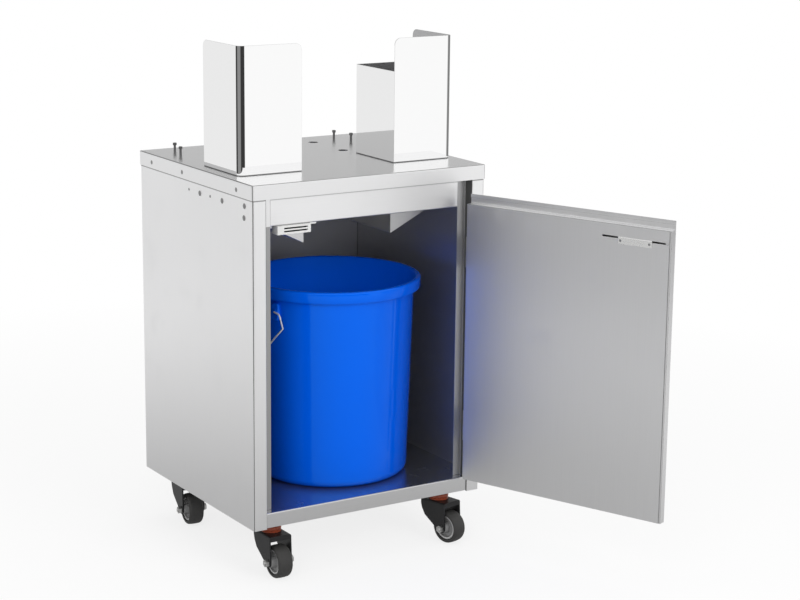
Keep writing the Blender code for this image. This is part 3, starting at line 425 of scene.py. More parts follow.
moulded_grain = make_grain()
print("group:", moulded_grain.name)

# %% [markdown]
# ## Seam shade
# Where two sheets meet, light gets lost in the gap and a thin dark line shows. A real gap can be modelled,
# but at this size it would be a fraction of a pixel wide. A mask on the height paints a clean dark line
# instead: painted shade.

# %% Seam shade


def make_seam():
    """Paints shade over a span of heights."""
    tree, start, end = new_group(
        "ShaderNodeTree", "seam shade",
        [("Low", NUMBER, 0.0), ("High", NUMBER, 0.0), ("Strength", NUMBER, 0.6)],
        [("Brightness", NUMBER)],
    )
    parts = add(tree, "ShaderNodeSeparateXYZ")
    join(tree, own_place(tree), parts.inputs[0])
    above = number(tree, "GREATER_THAN", parts.outputs["Z"], start.outputs["Low"])
    below = number(tree, "LESS_THAN", parts.outputs["Z"], start.outputs["High"])
    line = number(tree, "MULTIPLY", number(tree, "MULTIPLY", above, below), start.outputs["Strength"])
    feed(tree, end, Brightness=number(tree, "SUBTRACT", 1.0, line))
    return tree


seam_shade = make_seam()
print("group:", seam_shade.name)

# %% [markdown]
# ## Finishes
# The cabinet is satin stainless sheet, the chutes are polished, the small hardware is zinc plated. The
# bucket is blue plastic, the casters black coated steel with grey wheels and dark tyres. Flat colours would
# look like paint. So each finish is one Principled shader fed by a shared group, and its colour, roughness
# and fine relief change over the surface as they do on the real thing.

# %% Finish makers
BRUSH_RELIEF = 0.0002
GRAIN_RELIEF = 0.0003


def place_group(tree, group, **inputs):
    """Places a shared group in a material and sets its inputs."""
    return feed(tree, add(tree, "ShaderNodeGroup", node_tree=group), **inputs)


def relief(tree, height, strength, depth):
    """Turns a height into the normals of a fine relief."""
    raised = add(tree, "ShaderNodeBump")
    return feed(tree, raised, Strength=strength, Distance=depth, Height=height).outputs["Normal"]


def metal(name, colour, stretch, bump, spread=0.0, seam=None, metallic=1.0, **brushing):
    """Sheet metal brushed along the axis of the least stretch; spread widens highlights across the lines."""
    material, tree, shader = start_material(name, Metallic=metallic, Anisotropic=spread)
    turn = feed(tree, add(tree, "ShaderNodeMapping"), Scale=stretch, Vector=own_place(tree))
    brush = place_group(tree, brushed_sheet, Vector=turn.outputs["Vector"], **brushing)
    brightness = brush.outputs["Brightness"]
    # A seam paints shade: a span of heights is darkened.
    if seam is not None:
        low, high, strength = seam
        line = place_group(tree, seam_shade, Low=low, High=high, Strength=strength)
        brightness = number(tree, "MULTIPLY", brightness, line.outputs["Brightness"])
    tint = feed(tree, add(tree, "ShaderNodeVectorMath", operation="SCALE"), Scale=brightness)
    join(tree, colour, tint.inputs[0])
    feed(tree, shader, Base_Color=tint.outputs[0], Roughness=brush.outputs["Roughness"],
         Normal=relief(tree, brush.outputs["Height"], bump, BRUSH_RELIEF))
    return material


def moulded(name, colour, patch_colour, bump, gloss=0.5, gloss_tint=grey(1.0), **texture):
    """Plastic, rubber or coating with a fine grain."""
    material, tree, shader = start_material(name, Specular_IOR_Level=gloss, Specular_Tint=(*gloss_tint, 1.0))
    grain = place_group(tree, moulded_grain, Colour=(*colour, 1.0), Patch_Colour=(*patch_colour, 1.0),
                        **texture)
    feed(tree, shader, Base_Color=grain.outputs["Colour"], Roughness=grain.outputs["Roughness"],
         Normal=relief(tree, grain.outputs["Height"], bump, GRAIN_RELIEF))
    return material


print("finish makers ready")

# %% [markdown]
# ## Sheet metals
# All sheets are the same stainless steel, but a side that was ground upright, a lip ground across, a
# mill-finish inside and a polished chute answer the light in their own ways. One shiny metal for all would
# look like foil, so each gets its own brightness, brushing and, where it meets another sheet, a painted seam
# shade. The door and the deflectors are darker copies, which is painted shade, and the inside is partly a
# duller mill finish and partly painted shade.

# %% Sheet metals
UPRIGHT = (900.0, 900.0, 9.0)
ACROSS = (9.0, 900.0, 900.0)
ALL_WAYS = (700.0, 700.0, 700.0)
STEEL_BLUE = 0.005
MILL_STEEL = grey(0.56, STEEL_BLUE)
PLAIN_STEEL = grey(0.75, STEEL_BLUE)
SIDE_STEEL = grey(0.95, STEEL_BLUE)
SEAM = 0.0024
SEAM_SHADE = 0.62
HEADER_SEAM = 0.0062
HEADER_SHADE = 0.40
STOP_SHADE = 0.55
FOOT_LINE = 0.0016
FOOT_SHADE = 0.75

worktop_low, worktop_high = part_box("top_plate")
# Painted shade: thin dark lines under the worktop's lip, on the header and at the foot of the chutes.
lip_seam_shade = (worktop_low.z - SEAM, worktop_low.z, SEAM_SHADE)
header_seam_shade = (worktop_low.z - HEADER_SEAM, worktop_low.z, HEADER_SHADE)
# Painted shade over the catch-side stop flange, from the floor up to the header.
stop_shade = (0.0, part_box("header_rail")[0].z, STOP_SHADE)
foot_seam_shade = (worktop_high.z - FOOT_LINE, worktop_high.z + FOOT_LINE, FOOT_SHADE)

satin_upright = metal("satin stainless upright", SIDE_STEEL, UPRIGHT, bump=0.05, spread=0.4, seam=lip_seam_shade,
                      Roughness=0.27)
# The door is a darker copy of the same sheet: painted shade.
satin_door = metal("satin stainless door", grey(0.83, STEEL_BLUE), UPRIGHT, bump=0.05, spread=0.4,
                   Roughness=0.26)
# Darker than the outside: partly a duller mill finish, partly painted shade for the closed-in interior.
mill_finish_and_shade = metal("mill finish and shade inside", MILL_STEEL, UPRIGHT, bump=0.03, spread=0.3, metallic=0.92,
                     Roughness=0.38, Lines=0.04, Clouds=0.03, Contrast=0.04)
satin_header = metal("satin stainless header", grey(0.94, STEEL_BLUE), ACROSS, bump=0.05, seam=header_seam_shade,
                     Roughness=0.28)
tray_sheet = metal("mill finish tray", MILL_STEEL, ACROSS, bump=0.03, metallic=0.95,
                   Roughness=0.20, Lines=0.04, Clouds=0.04)
rail_sheet = metal("satin stainless rail", PLAIN_STEEL, ACROSS, bump=0.05, Roughness=0.26)
# The catch-side stop flange: painted shade below the header.
stop_sheet = metal("shaded stop", SIDE_STEEL, UPRIGHT, bump=0.03, seam=stop_shade, Roughness=0.34, Lines=0.06)
# The deflectors are a darker copy of the sheet: painted shade.
deflector_sheet = metal("shaded deflector", PLAIN_STEEL, UPRIGHT, bump=0.04, Roughness=0.32, Lines=0.06)
satin_across = metal("satin stainless across", grey(0.89, STEEL_BLUE), ACROSS, bump=0.05, seam=lip_seam_shade,
                     Roughness=0.26)
worktop_sheet = metal("worktop sheet", grey(0.92, STEEL_BLUE), ACROSS, bump=0.05,
                      Roughness=0.13, Lines=0.06, Clouds=0.04, Contrast=0.12)
mirror_sheet = metal("mirror stainless", grey(0.95), UPRIGHT, bump=0.005, seam=foot_seam_shade,
                     Roughness=0.02, Lines=0.01, Clouds=0.02, Contrast=0.01)
print("materials so far:", len(bpy.data.materials))

# %% [markdown]
# ## Edges and hardware
# Sheared edges are rough and dark. The middle of a fold hides from the light and the rebate beside the door
# lies in shade, so both get painted shade, a dark grey. Screws, studs, wire and plates are plated or left
# dull. With the finish of the sheets they would hardly stand out from them, so they get their own. They are
# small, so their lines run all ways instead of along the piece.

# %% Edges and hardware
ZINC_BLUE = -0.01

# Painted shade: the rebate wall, the middle of folds and the side panels' corner folds.
rebate_sheet = metal("shaded rebate", grey(0.12), UPRIGHT, bump=0.03, Roughness=0.34, Lines=0.06)
fold_line = metal("fold line", grey(0.26), ALL_WAYS, bump=0.03, Roughness=0.30, Lines=0.06)
corner_line = metal("corner line", grey(0.10), ALL_WAYS, bump=0.03, Roughness=0.30, Lines=0.06)
cut_edge = metal("sheared edge", grey(0.42), ALL_WAYS, bump=0.10, Roughness=0.40, Lines=0.10)
zinc_plate = metal("zinc plate", grey(0.58, ZINC_BLUE), ALL_WAYS, bump=0.08,
                   Roughness=0.26, Lines=0.10, Clouds=0.10)
bright_zinc = metal("bright zinc", grey(0.97, ZINC_BLUE), ALL_WAYS, bump=0.04, Roughness=0.22)
plated_wire = metal("plated wire", grey(0.80, ZINC_BLUE), ALL_WAYS, bump=0.04, metallic=0.40, Roughness=0.20)
stud_steel = metal("dark stud", grey(0.15), ALL_WAYS, bump=0.06, Roughness=0.34, Clouds=0.08)
dull_bolt = metal("dull bolt heads", grey(0.30), ALL_WAYS, bump=0.08,
                  Roughness=0.34, Lines=0.10, Clouds=0.10)
print("with edges and hardware:", len(bpy.data.materials))

# %% [markdown]
# ## Plastics, coatings and rubber
# The bucket is glossy outside and duller inside, the forks are spray coated, the rims are plastic, the
# tyres rubber. A coat on top of a colour would give the gloss as well. A tinted highlight is enough here
# and keeps the bucket's blue deep.

# %% Plastics, coatings and rubber
BUCKET_COLOUR = (0.0, 0.105, 0.77)
BUCKET_PATCH = (0.0, 0.09, 0.70)
BUCKET_GLOSS = (0.22, 0.85, 1.0)

bucket_blue = moulded("blue bucket", BUCKET_COLOUR, BUCKET_PATCH, bump=0.02, gloss=0.55,
                      gloss_tint=BUCKET_GLOSS, Roughness=0.06, Spread=0.06, Grain_Scale=700.0)
bucket_inside = moulded("blue bucket inside", BUCKET_COLOUR, BUCKET_PATCH, bump=0.02, gloss=0.30,
                        gloss_tint=BUCKET_GLOSS, Roughness=0.42, Grain_Scale=700.0)
fork_black = moulded("black coating", grey(0.010, 0.001), grey(0.022), bump=0.08, gloss=0.32,
                     Patches=0.5, Roughness=0.22, Spread=0.14, Grain_Scale=1500.0)
seal_brown = moulded("red brown ring", (0.30, 0.055, 0.02), (0.20, 0.04, 0.02), bump=0.06,
                     Patches=0.5, Spread=0.12, Grain_Scale=1200.0)
rim_grey = moulded("grey wheel rim", grey(0.22), grey(0.15), bump=0.06,
                   Patches=0.5, Roughness=0.36, Spread=0.14, Grain_Scale=1200.0)
# Painted highlight: the raised lip is lighter than the rest of the rim.
rim_lip_highlight = moulded("painted wheel lip highlight", grey(0.52), grey(0.44), bump=0.04,
                  Patches=0.5, Roughness=0.28, Grain_Scale=1200.0)
tyre_black = moulded("black tyre", grey(0.022), (0.05, 0.048, 0.045), bump=0.10,
                     Patches=0.5, Roughness=0.50, Spread=0.2, Grain_Scale=1400.0)
# Painted shade in the catch's sunk slots.
slot_shade_painted = moulded("painted slot shade", grey(0.035), grey(0.05), bump=0.03, gloss=0.2, Roughness=0.60)
catch_white = moulded("white catch", grey(0.68, -0.01), grey(0.60, -0.01), bump=0.03, Roughness=0.32)
print("all materials:", len(bpy.data.materials))

# %% [markdown]
# ## Finishing a piece
# Every piece goes through the same last steps: a plain mesh at the origin, one material, the body it rides
# on and the solids it stands for, which are hidden. A single helper does them, so that no step is
# forgotten.

# %% Piece helper
slot_of = {subpart["node"]: subpart["material_slot"] for subpart in record["subparts"]}
body_of = {name: body for body, names in record["behaviour"]["bodies"].items() for name in names}
SHARP = math.radians(33.0)


def baked(source):
    """The mesh of an object with its modifiers worked out."""
    graph = bpy.context.evaluated_depsgraph_get()
    return bpy.data.meshes.new_from_object(source.evaluated_get(graph), depsgraph=graph)


def put_on(name, mesh, material, body, slot, *replaced):
    """Makes a mesh a piece of the cabinet."""
    mesh.materials.clear()
    mesh.materials.append(material)
    mesh.polygons.foreach_set("material_index", [0] * len(mesh.polygons))
    piece = new_object(name, mesh)
    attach(piece, body)
    if replaced:
        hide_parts(*replaced)
    return piece


def add_finish(piece, material, belongs):
    """Gives some faces of a piece one more finish; belongs says which."""
    mesh = piece.data
    mesh.materials.append(material)
    for side in mesh.polygons:
        if belongs(mesh, side):
            side.material_index = len(mesh.materials) - 1


print("bodies:", len(set(body_of.values())))

# %% [markdown]
# ## Round pieces
# The bucket, the wheels and the swivel rings are turned shapes: a profile carried round an axis. Blender's
# Spin or a Screw modifier could do it. A Geometry Nodes tree is chosen, because the same tree serves every
# round piece with its own profile, its own number of steps and its own place and turn.

# %% Turning tree
SHAPE = "NodeSocketGeometry"
FINISH = "NodeSocketMaterial"
PATH_RADIUS = 0.001
WELD_TURNED = 0.00001


def finish_tree(tree, last, start, end):
    """Makes instances real, gives all faces the finish and sends the mesh out."""
    paint = feed(tree, add(tree, "GeometryNodeSetMaterial"), Material=start.outputs["Finish"])
    chain(tree, last, add(tree, "GeometryNodeRealizeInstances"), paint, end)


def turning_tree():
    """Profile curve in, closed round mesh out, set down where it belongs."""
    tree, start, end = new_group(
        "GeometryNodeTree", "turned piece",
        [("Profile", SHAPE), ("Steps", "NodeSocketInt"), ("Path Radius", NUMBER),
         ("Place", POINT), ("Turn", POINT), ("Finish", FINISH)],
        [("Mesh", SHAPE)],
    )
    given = start.outputs
    circle = add(tree, "GeometryNodeCurvePrimitiveCircle")
    feed(tree, circle, Resolution=given["Steps"], Radius=given["Path Radius"])
    sweep = feed(tree, add(tree, "GeometryNodeCurveToMesh"), Profile_Curve=given["Profile"])
    weld = feed(tree, add(tree, "GeometryNodeMergeByDistance"), Distance=WELD_TURNED)
    settle = add(tree, "GeometryNodeTransform")
    feed(tree, settle, Translation=given["Place"], Rotation=given["Turn"])
    smooth = add(tree, "GeometryNodeSetShadeSmooth")
    chain(tree, circle, sweep, weld, settle, smooth)
    finish_tree(tree, smooth, start, end)
    return tree


def set_modifier(modifier, **values):
    """Sets a Geometry Nodes modifier's inputs by their identifiers."""
    for item in modifier.node_group.interface.items_tree:
        key = item.name.replace(" ", "_")
        if item.in_out == "INPUT" and key in values:
            modifier[item.identifier] = values[key]


turned_piece = turning_tree()
print("tree:", turned_piece.name)

# %% [markdown]
# ## Turning a profile
# A profile could be drawn by hand as a curve. As a list of points, each a radius and a height, it can use
# named sizes. The list becomes a curve, the tree carries it round, and the result is kept as a plain mesh.
# Turning can leave a shape inside out, so its faces are turned outwards.

# %% Turning helper
ORIGIN = (0.0, 0.0, 0.0)


def arc(centre, radius, first, last, steps):
    """Points of an arc in a profile, angles in quarter turns."""
    points = []
    for step in range(steps + 1):
        angle = (first + (last - first) * step / steps) * math.pi / 2
        points.append((centre[0] + radius * math.cos(angle), centre[1] + radius * math.sin(angle)))
    return points


def turned(name, profile, closed, steps, material, place=ORIGIN, turn=ORIGIN):
    """The plain mesh of a profile of (radius, height) points carried round its axis."""
    curve = bpy.data.curves.new(name, "CURVE")
    curve.dimensions = "3D"
    spline = curve.splines.new("POLY")
    spline.points.add(len(profile) - 1)
    for point, (radius, height) in zip(spline.points, profile):
        point.co = (radius - PATH_RADIUS, -height, 0.0, 1.0)
    spline.use_cyclic_u = closed
    holder = new_object(name, curve)
    modifier = holder.modifiers.new("turn", "NODES")
    modifier.node_group = turned_piece
    set_modifier(modifier, Steps=steps, Path_Radius=PATH_RADIUS, Place=place, Turn=turn, Finish=material)
    mesh = baked(holder)
    bpy.data.objects.remove(holder)
    bm = bmesh.new()
    bm.from_mesh(mesh)
    bmesh.ops.recalc_face_normals(bm, faces=bm.faces[:])
    bm.to_mesh(mesh)
    bm.free()
    mesh.set_sharp_from_angle(angle=SHARP)
    return mesh


def put_round(name, profile, closed, steps, material, node, place, turn=ORIGIN):
    """Turns a profile and puts the result in the place of a solid."""
    mesh = turned(name, profile, closed, steps, material, place, turn)
    return put_on(name, mesh, material, body_of[node], slot_of[node], node)


print("turning helper ready")

# %% [markdown]
# ## The bucket
# A blue moulded pail with a gentle taper, a rounded base edge and a rim that is rolled over outwards. A
# cylinder with a Solidify modifier would give the wall, but not the rolled rim. So a section is turned that
# runs up the inside, over the rim and down the outside. Many steps keep the rim a clean oval in the
# picture, and a shallow ring under the base gives it a foot.

# %% Bucket
WALL = 0.003
BASE_ROUND = 0.016
BASE_STEPS = 10
MOUTH_RADIUS = 0.1625
BASE_RADIUS = 0.1510
BAND = 0.022
RIM_ROUND = 0.004
RIM_START = 1.7
INNER_RIM_STEPS = 6
OUTER_RIM_STEPS = 8
FOOT = 0.0015
FOOT_INSET = 0.0256
FOOT_SLOPE = 0.0032
BUCKET_STEPS = 144

bucket_low, bucket_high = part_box("bucket")
tall = bucket_high.z - bucket_low.z
rim_radius = (bucket_high.x - bucket_low.x) / 2
bucket_middle = (bucket_low + bucket_high) / 2
base_centre = (BASE_RADIUS - BASE_ROUND, BASE_ROUND)
crest = MOUTH_RADIUS + WALL
rolled = tall - RIM_ROUND
band_foot = tall - BAND
foot_radius = BASE_RADIUS - FOOT_INSET

inside = [(0.0, WALL)] + arc(base_centre, BASE_ROUND - WALL, -1.0, 0.0, BASE_STEPS)
inside += [(MOUTH_RADIUS - WALL, band_foot), (crest - RIM_ROUND / 2, rolled)]
over = arc((crest + RIM_ROUND / 2, rolled), RIM_ROUND, RIM_START, 1.0, INNER_RIM_STEPS)
over += arc((rim_radius - RIM_ROUND, rolled), RIM_ROUND, 1.0, 0.0, OUTER_RIM_STEPS)
under = [(rim_radius, band_foot + WALL), (rim_radius - WALL / 2, band_foot), (MOUTH_RADIUS, band_foot + WALL)]
outside = [(MOUTH_RADIUS - WALL / 4, band_foot - WALL)]
outside += arc(base_centre, BASE_ROUND, 0.0, -1.0, BASE_STEPS)
foot = [(foot_radius, 0.0), (foot_radius - FOOT_SLOPE, FOOT), (0.0, FOOT)]
bucket_shell = put_round("bucket_shell", inside + over + under + outside + foot, False, BUCKET_STEPS,
                         bucket_blue, "bucket", (bucket_middle.x, bucket_middle.y, bucket_low.z))


def looks_inwards(mesh, side):
    """True for the faces of the pail that look towards its axis."""
    arm = side.center - bucket_middle
    return side.normal.dot(Vector((arm.x, arm.y, 0.0))) < 0.0


add_finish(bucket_shell, bucket_inside, looks_inwards)
mean_radius = (MOUTH_RADIUS + BASE_RADIUS) / 2 - WALL
litres = math.pi * mean_radius ** 2 * tall * 1000.0
print("bucket faces:", len(bucket_shell.data.polygons), "litres:", round(litres, 1))

# %% [markdown]
# ## Bucket ears
# Two lugs stand out of the wall below the rim and carry the wire handle. Each is a rounded plate with a
# raised boss round the wire. A bevelled block would do for the plate, but its rounded outline is clearer as
# a short stack of outlines with walls between them.

# %% Bucket ears
EAR_WIDTH = 0.016
EAR_HEIGHT = 0.034
EAR_REACH = 0.006
EAR_CORNER = 0.005
EAR_CORNER_STEPS = 6
EAR_TOP_SIZE = 0.88
BOSS_RADIUS = 0.0050
BOSS_RISE = 0.0012
BOSS_TOP_SIZE = 0.85
BOSS_START = 0.25

bail_joint = joints["bail_hinge"]
bail_place = Vector(bail_joint["pos_m"])
bail_axis = Vector(bail_joint["axis"]).normalized()


def ear_outline():
    """A rounded rectangle, width across and height up."""
    across = EAR_WIDTH / 2 - EAR_CORNER
    up = EAR_HEIGHT / 2 - EAR_CORNER
    points = []
    for quarter, (side, level) in enumerate(((1, 1), (-1, 1), (-1, -1), (1, -1))):
        points += arc((side * across, level * up), EAR_CORNER, quarter, quarter + 1, EAR_CORNER_STEPS)
    return points


def add_ear(bm, side):
    """Adds one lug, its outer face away from the axis of the pail; side is 1 or -1."""
    height = bail_place.z - bucket_low.z
    wall_at = BASE_RADIUS + (MOUTH_RADIUS - BASE_RADIUS) * height / (tall - BAND)
    face_at = wall_at + EAR_REACH
    plate = ((wall_at - WALL / 2, 1.0), (face_at - WALL / 2, 1.0), (face_at, EAR_TOP_SIZE))
    boss = ((face_at, BOSS_RADIUS), (face_at + BOSS_RISE, BOSS_RADIUS * BOSS_TOP_SIZE))
    layers = [(out, [(x * size, z * size) for x, z in ear_outline()]) for out, size in plate]
    corners = len(layers[0][1])
    boss_end = BOSS_START + 4.0 - 4.0 / corners
    layers += [(out, arc((0.0, 0.0), radius, BOSS_START, boss_end, corners - 1)) for out, radius in boss]
    loops = [[bm.verts.new((side * out, x, z)) for x, z in outline] for out, outline in layers]
    for before, after in zip(loops, loops[1:]):
        for index in range(corners):
            following = (index + 1) % corners
            bm.faces.new((before[index], before[following], after[following], after[index]))
    bm.faces.new(loops[0])
    bm.faces.new(loops[-1])


ears_bm = bmesh.new()
add_ear(ears_bm, -1)
add_ear(ears_bm, 1)
ear_turn = Matrix.Rotation(math.atan2(bail_axis.y, bail_axis.x), 4, "Z")
bmesh.ops.transform(ears_bm, matrix=Matrix.Translation(bail_place) @ ear_turn, verts=ears_bm.verts[:])
bmesh.ops.recalc_face_normals(ears_bm, faces=ears_bm.faces[:])
for ear_face in ears_bm.faces:
    ear_face.smooth = True
ears = mesh_from("bucket_ears", ears_bm)
ears.set_sharp_from_angle(angle=SHARP)
put_on("bucket_ears", ears, bucket_blue, "bucket_body", "blue_plastic")
print("ear faces:", len(ears.polygons))

# %% [markdown]
# ## Wheels
# Each caster has a smooth dark tyre with round shoulders on a dished grey rim with a raised lip. A cylinder
# with bevels would give the tyre, but not the dish, so both are turned with the same tree. The wheel's
# place and axis come from its joint, so a caster that is swung to one side gets its wheel swung with it.

# %% Wheel sections
WHEEL_RADIUS = 0.03175
TREAD_HALF = 0.015
TYRE_DEPTH = 0.0075
BEAD_DROP = 0.0012
BEAD_STEP = 0.0008
BEAD_EDGE = 0.0003
SHOULDER = 0.006
SHOULDER_END = 0.15
SHOULDER_STEPS = 9
CROWN = 0.0004
RIM_LIP = 0.004
RIM_EDGE = 0.0008
LIP_ROUND = 0.0012
LIP_STEPS = 5
SEAT_GAP = 0.0006
HUB_RADIUS = 0.0095
HUB_HALF = 0.0202
HUB_FLARE = 0.0012
DISH_FILLET = 0.001
BORE = 0.0043

seat = WHEEL_RADIUS - TYRE_DEPTH
rim_half = TREAD_HALF - SHOULDER / 2
lip = seat - RIM_LIP


def both_faces(one_face):
    """A profile and its mirror image, so that both faces of a wheel are alike."""
    return one_face + [(radius, -height) for radius, height in reversed(one_face)]


def tyre_profile():
    """From the bead on the rim over the sidewall and the shoulder to the crown of the tread."""
    bead = [(seat, TREAD_HALF - BEAD_DROP), (seat + BEAD_STEP, TREAD_HALF - BEAD_EDGE)]
    shoulder_centre = (WHEEL_RADIUS - CROWN - SHOULDER, TREAD_HALF - SHOULDER)
    shoulder = arc(shoulder_centre, SHOULDER, 1.0, SHOULDER_END, SHOULDER_STEPS)
    return both_faces(bead + shoulder + [(WHEEL_RADIUS, TREAD_HALF / 4)])


def rim_profile():
    """From the bore over the hub and the dish to the raised lip and the seat of the tyre."""
    dish = rim_half - RIM_LIP
    foot_of_hub = HUB_RADIUS + HUB_FLARE
    hub = [(BORE, HUB_HALF), (HUB_RADIUS - RIM_EDGE, HUB_HALF), (HUB_RADIUS, HUB_HALF - RIM_EDGE)]
    hub += [(foot_of_hub, dish + DISH_FILLET), (foot_of_hub + DISH_FILLET, dish), (lip - 2 * LIP_ROUND, dish)]
    raised_lip = arc((lip + LIP_ROUND / 2, rim_half - LIP_ROUND), LIP_ROUND, 2.0, 1.0, LIP_STEPS)
    outer = [(seat - SEAT_GAP - RIM_EDGE, rim_half), (seat - SEAT_GAP, rim_half - RIM_EDGE)]
    return both_faces(hub + raised_lip + outer)


print("points round tyre and rim:", len(tyre_profile()), len(rim_profile()))

# %% Wheels
CORNERS = ("front_left", "front_right", "rear_left", "rear_right")
WHEEL_STEPS = 72


def across_axis(axis):
    """The turn that lays an upright axis along a level one."""
    return (0.0, math.pi / 2, math.atan2(axis[1], axis[0]))


def on_rim_lip(hub_place, axis):
    """A test for the faces of the rim's raised lip, by their distance from the axle."""
    def belongs(mesh, side):
        arm = side.center - hub_place
        return (arm - axis * arm.dot(axis)).length > lip
    return belongs


for corner in CORNERS:
    spin = joints[corner + "_wheel_spin"]
    hub_place = spin["pos_m"]
    lay = across_axis(spin["axis"])
    put_round(corner + "_tyre_round", tyre_profile(), True, WHEEL_STEPS, tyre_black, corner + "_tyre",
              hub_place, lay)
    rim = put_round(corner + "_rim_round", rim_profile(), True, WHEEL_STEPS, rim_grey, corner + "_wheel_rim",
                    hub_place, lay)
    add_finish(rim, rim_lip_highlight, on_rim_lip(Vector(hub_place), Vector(spin["axis"])))
print("wheels:", len(CORNERS))

# %% [markdown]
# ## Swivel rings
# A red-brown dust ring closes the swivel bearing under each top plate. It has two raised bands with a
# groove between them. Two plain rings would do from afar, but one turned section also shows the rounded
# bands.

# %% Swivel rings
RING_BORE = 0.0055
RING_GROOVE = 0.002
RING_EDGE = 0.0008
RING_STEPS = 48
UPPER_BAND = (0.75, 0.50, 0.44)
GROOVE_SPAN = (0.36, 0.30)
LOWER_BAND = (0.22, 1 / 6)


def ring_profile(radius, low, high):
    """Two raised bands with a groove between them, at shares of the height."""
    waist = radius - RING_GROOVE
    upper, groove, lower = ([low + share * (high - low) for share in shares]
                            for shares in (UPPER_BAND, GROOVE_SPAN, LOWER_BAND))
    section = [(RING_BORE, high), (waist, high), (waist + RING_EDGE, high - RING_EDGE)]
    section += [(radius, upper[0]), (radius, upper[1]), (radius - RING_EDGE, upper[2])]
    section += [(waist, groove[0]), (waist, groove[1])]
    section += [(radius - RING_EDGE, lower[0]), (radius, lower[1]), (radius, low + RING_EDGE / 2)]
    return section + [(radius - RING_EDGE / 2, low), (RING_BORE, low)]


for corner in CORNERS:
    ring = corner + "_swivel_ring"
    ring_low, ring_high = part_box(ring)
    centre = (ring_low + ring_high) / 2
    section = ring_profile((ring_high.x - ring_low.x) / 2, ring_low.z, ring_high.z)
    put_round(corner + "_ring_round", section, True, RING_STEPS, seal_brown, ring, (centre.x, centre.y, 0.0))
print("rings:", len(CORNERS))

# %% [markdown]
# ## Locating studs
# Four short studs stand on the worktop and hold the feet of the machine that goes on it. Each has a flat
# collar under the sheet, a plain shank and a slightly wider head. They could be stacked cylinders. Turned,
# they are one closed shape. Heights and places come from the solids.

# %% Locating studs
SHANK_RADIUS = 0.0024
HEAD_RADIUS = 0.0038
HEAD_HEIGHT = 0.0050
COLLAR_TOP = 0.0015
COLLAR = 0.0016
STUD_EDGE = 0.0006
STUD_STEPS = 32
STUDS = [name for name in slot_of if name.startswith("locating_stud")]


def stud_profile(low, top, collar_radius):
    """From the buried tail up over the hidden collar and the shank to the head."""
    head_low = top - HEAD_HEIGHT
    collar_top = worktop_high.z - COLLAR_TOP
    collar_low = collar_top - COLLAR
    tail = [(0.0, low), (SHANK_RADIUS, low), (SHANK_RADIUS, collar_low)]
    collar = [(collar_radius, collar_low), (collar_radius, collar_top), (SHANK_RADIUS, collar_top)]
    head = [(SHANK_RADIUS, head_low), (HEAD_RADIUS, head_low + STUD_EDGE), (HEAD_RADIUS, top - STUD_EDGE),
            (HEAD_RADIUS - STUD_EDGE, top), (0.0, top)]
    return tail + collar + head


for stud in STUDS:
    stud_low, stud_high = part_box(stud)
    centre = (stud_low + stud_high) / 2
    section = stud_profile(stud_low.z, stud_high.z, (stud_high.x - stud_low.x) / 2)
    put_round(stud + "_round", section, False, STUD_STEPS, stud_steel, stud, (centre.x, centre.y, 0.0))
print("studs:", len(STUDS), "height:", round(stud_high.z - worktop_high.z, 4))

# %% [markdown]
# ## Folded and pressed pieces
# The sheets, chutes, forks, hinges and the wire keep the shape of their solids, but real metal has no knife
# edges and its bends are smooth. The solids could be rounded themselves, but such fine edges belong to the
# looks, so a merged copy of each gets a narrow bevel on its sharp edges. Weighted normals then keep the
# broad faces flat while the bends shade smoothly.

# %% Eased copies
WELD = 0.00002
FLAT = math.radians(0.4)
BEVEL_STEPS = 2
EASE_OF_SLOT = {
    "stainless": 0.00025,
    "mirror_stainless": 0.0002,
    "zinc": 0.0003,
    "black_steel": 0.0007,
    "white_plastic": 0.0006,
}
KEEP_UNEASED = ("bail_handle",)


def eased_mesh(node_name, ease):
    """A solid's mesh with narrow bevels on its edges and smooth bends."""
    bm = bmesh.new()
    bm.from_mesh(nodes[node_name].data)
    bmesh.ops.remove_doubles(bm, verts=bm.verts[:], dist=WELD)
    bmesh.ops.dissolve_limit(bm, angle_limit=FLAT, verts=bm.verts[:], edges=bm.edges[:])
    for solid_face in bm.faces:
        solid_face.smooth = True
    holder = new_object(node_name + "_eased", mesh_from(node_name + "_eased", bm))
    if ease > 0.0:
        bevel = holder.modifiers.new("eased edges", "BEVEL")
        bevel.width = ease
        bevel.segments = BEVEL_STEPS
        bevel.limit_method = "ANGLE"
        bevel.angle_limit = SHARP
        bevel.use_clamp_overlap = True
        holder.data = baked(holder)
        holder.modifiers.clear()
    holder.data.set_sharp_from_angle(angle=SHARP)
    weighted = holder.modifiers.new("flat faces", "WEIGHTED_NORMAL")
    weighted.keep_sharp = True
    finished = baked(holder)
    bpy.data.objects.remove(holder)
    return finished


print("kinds of eased pieces:", len(EASE_OF_SLOT))

# %% [markdown]
# ## One sheet, several finishes
# A folded sheet is bright outside and dull inside, dark along its shears, and gets painted shade along its
# folds and where the door shuts against it; the dull inside is partly painted shade as well. Painting masks
# by hand would be lost with the next change of a solid. Short tests on a face's width, direction and place
# find the same faces again each time.

# %% Face tests
CUT_EDGE = 0.0013
FOLD_STEP = 0.0016
HALFWAY = 0.3
STILE_WIDTH = 0.028
SLOT_SUNK = 0.0015
SLOT_LEVELS = (0.22, 0.78)
SQUARELY = 0.9
MOSTLY = 0.5
rebate_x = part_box("right_side_panel")[1].x - STILE_WIDTH
catch_low, catch_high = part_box("magnetic_catch")


def width_of(mesh, side):
    """The narrow measure of a long face."""
    longest = max((mesh.vertices[a].co - mesh.vertices[b].co).length for a, b in side.edge_keys)
    return side.area / longest


def is_cut_edge(mesh, side):
    """True for the narrow faces left by the shears."""
    return width_of(mesh, side) < CUT_EDGE


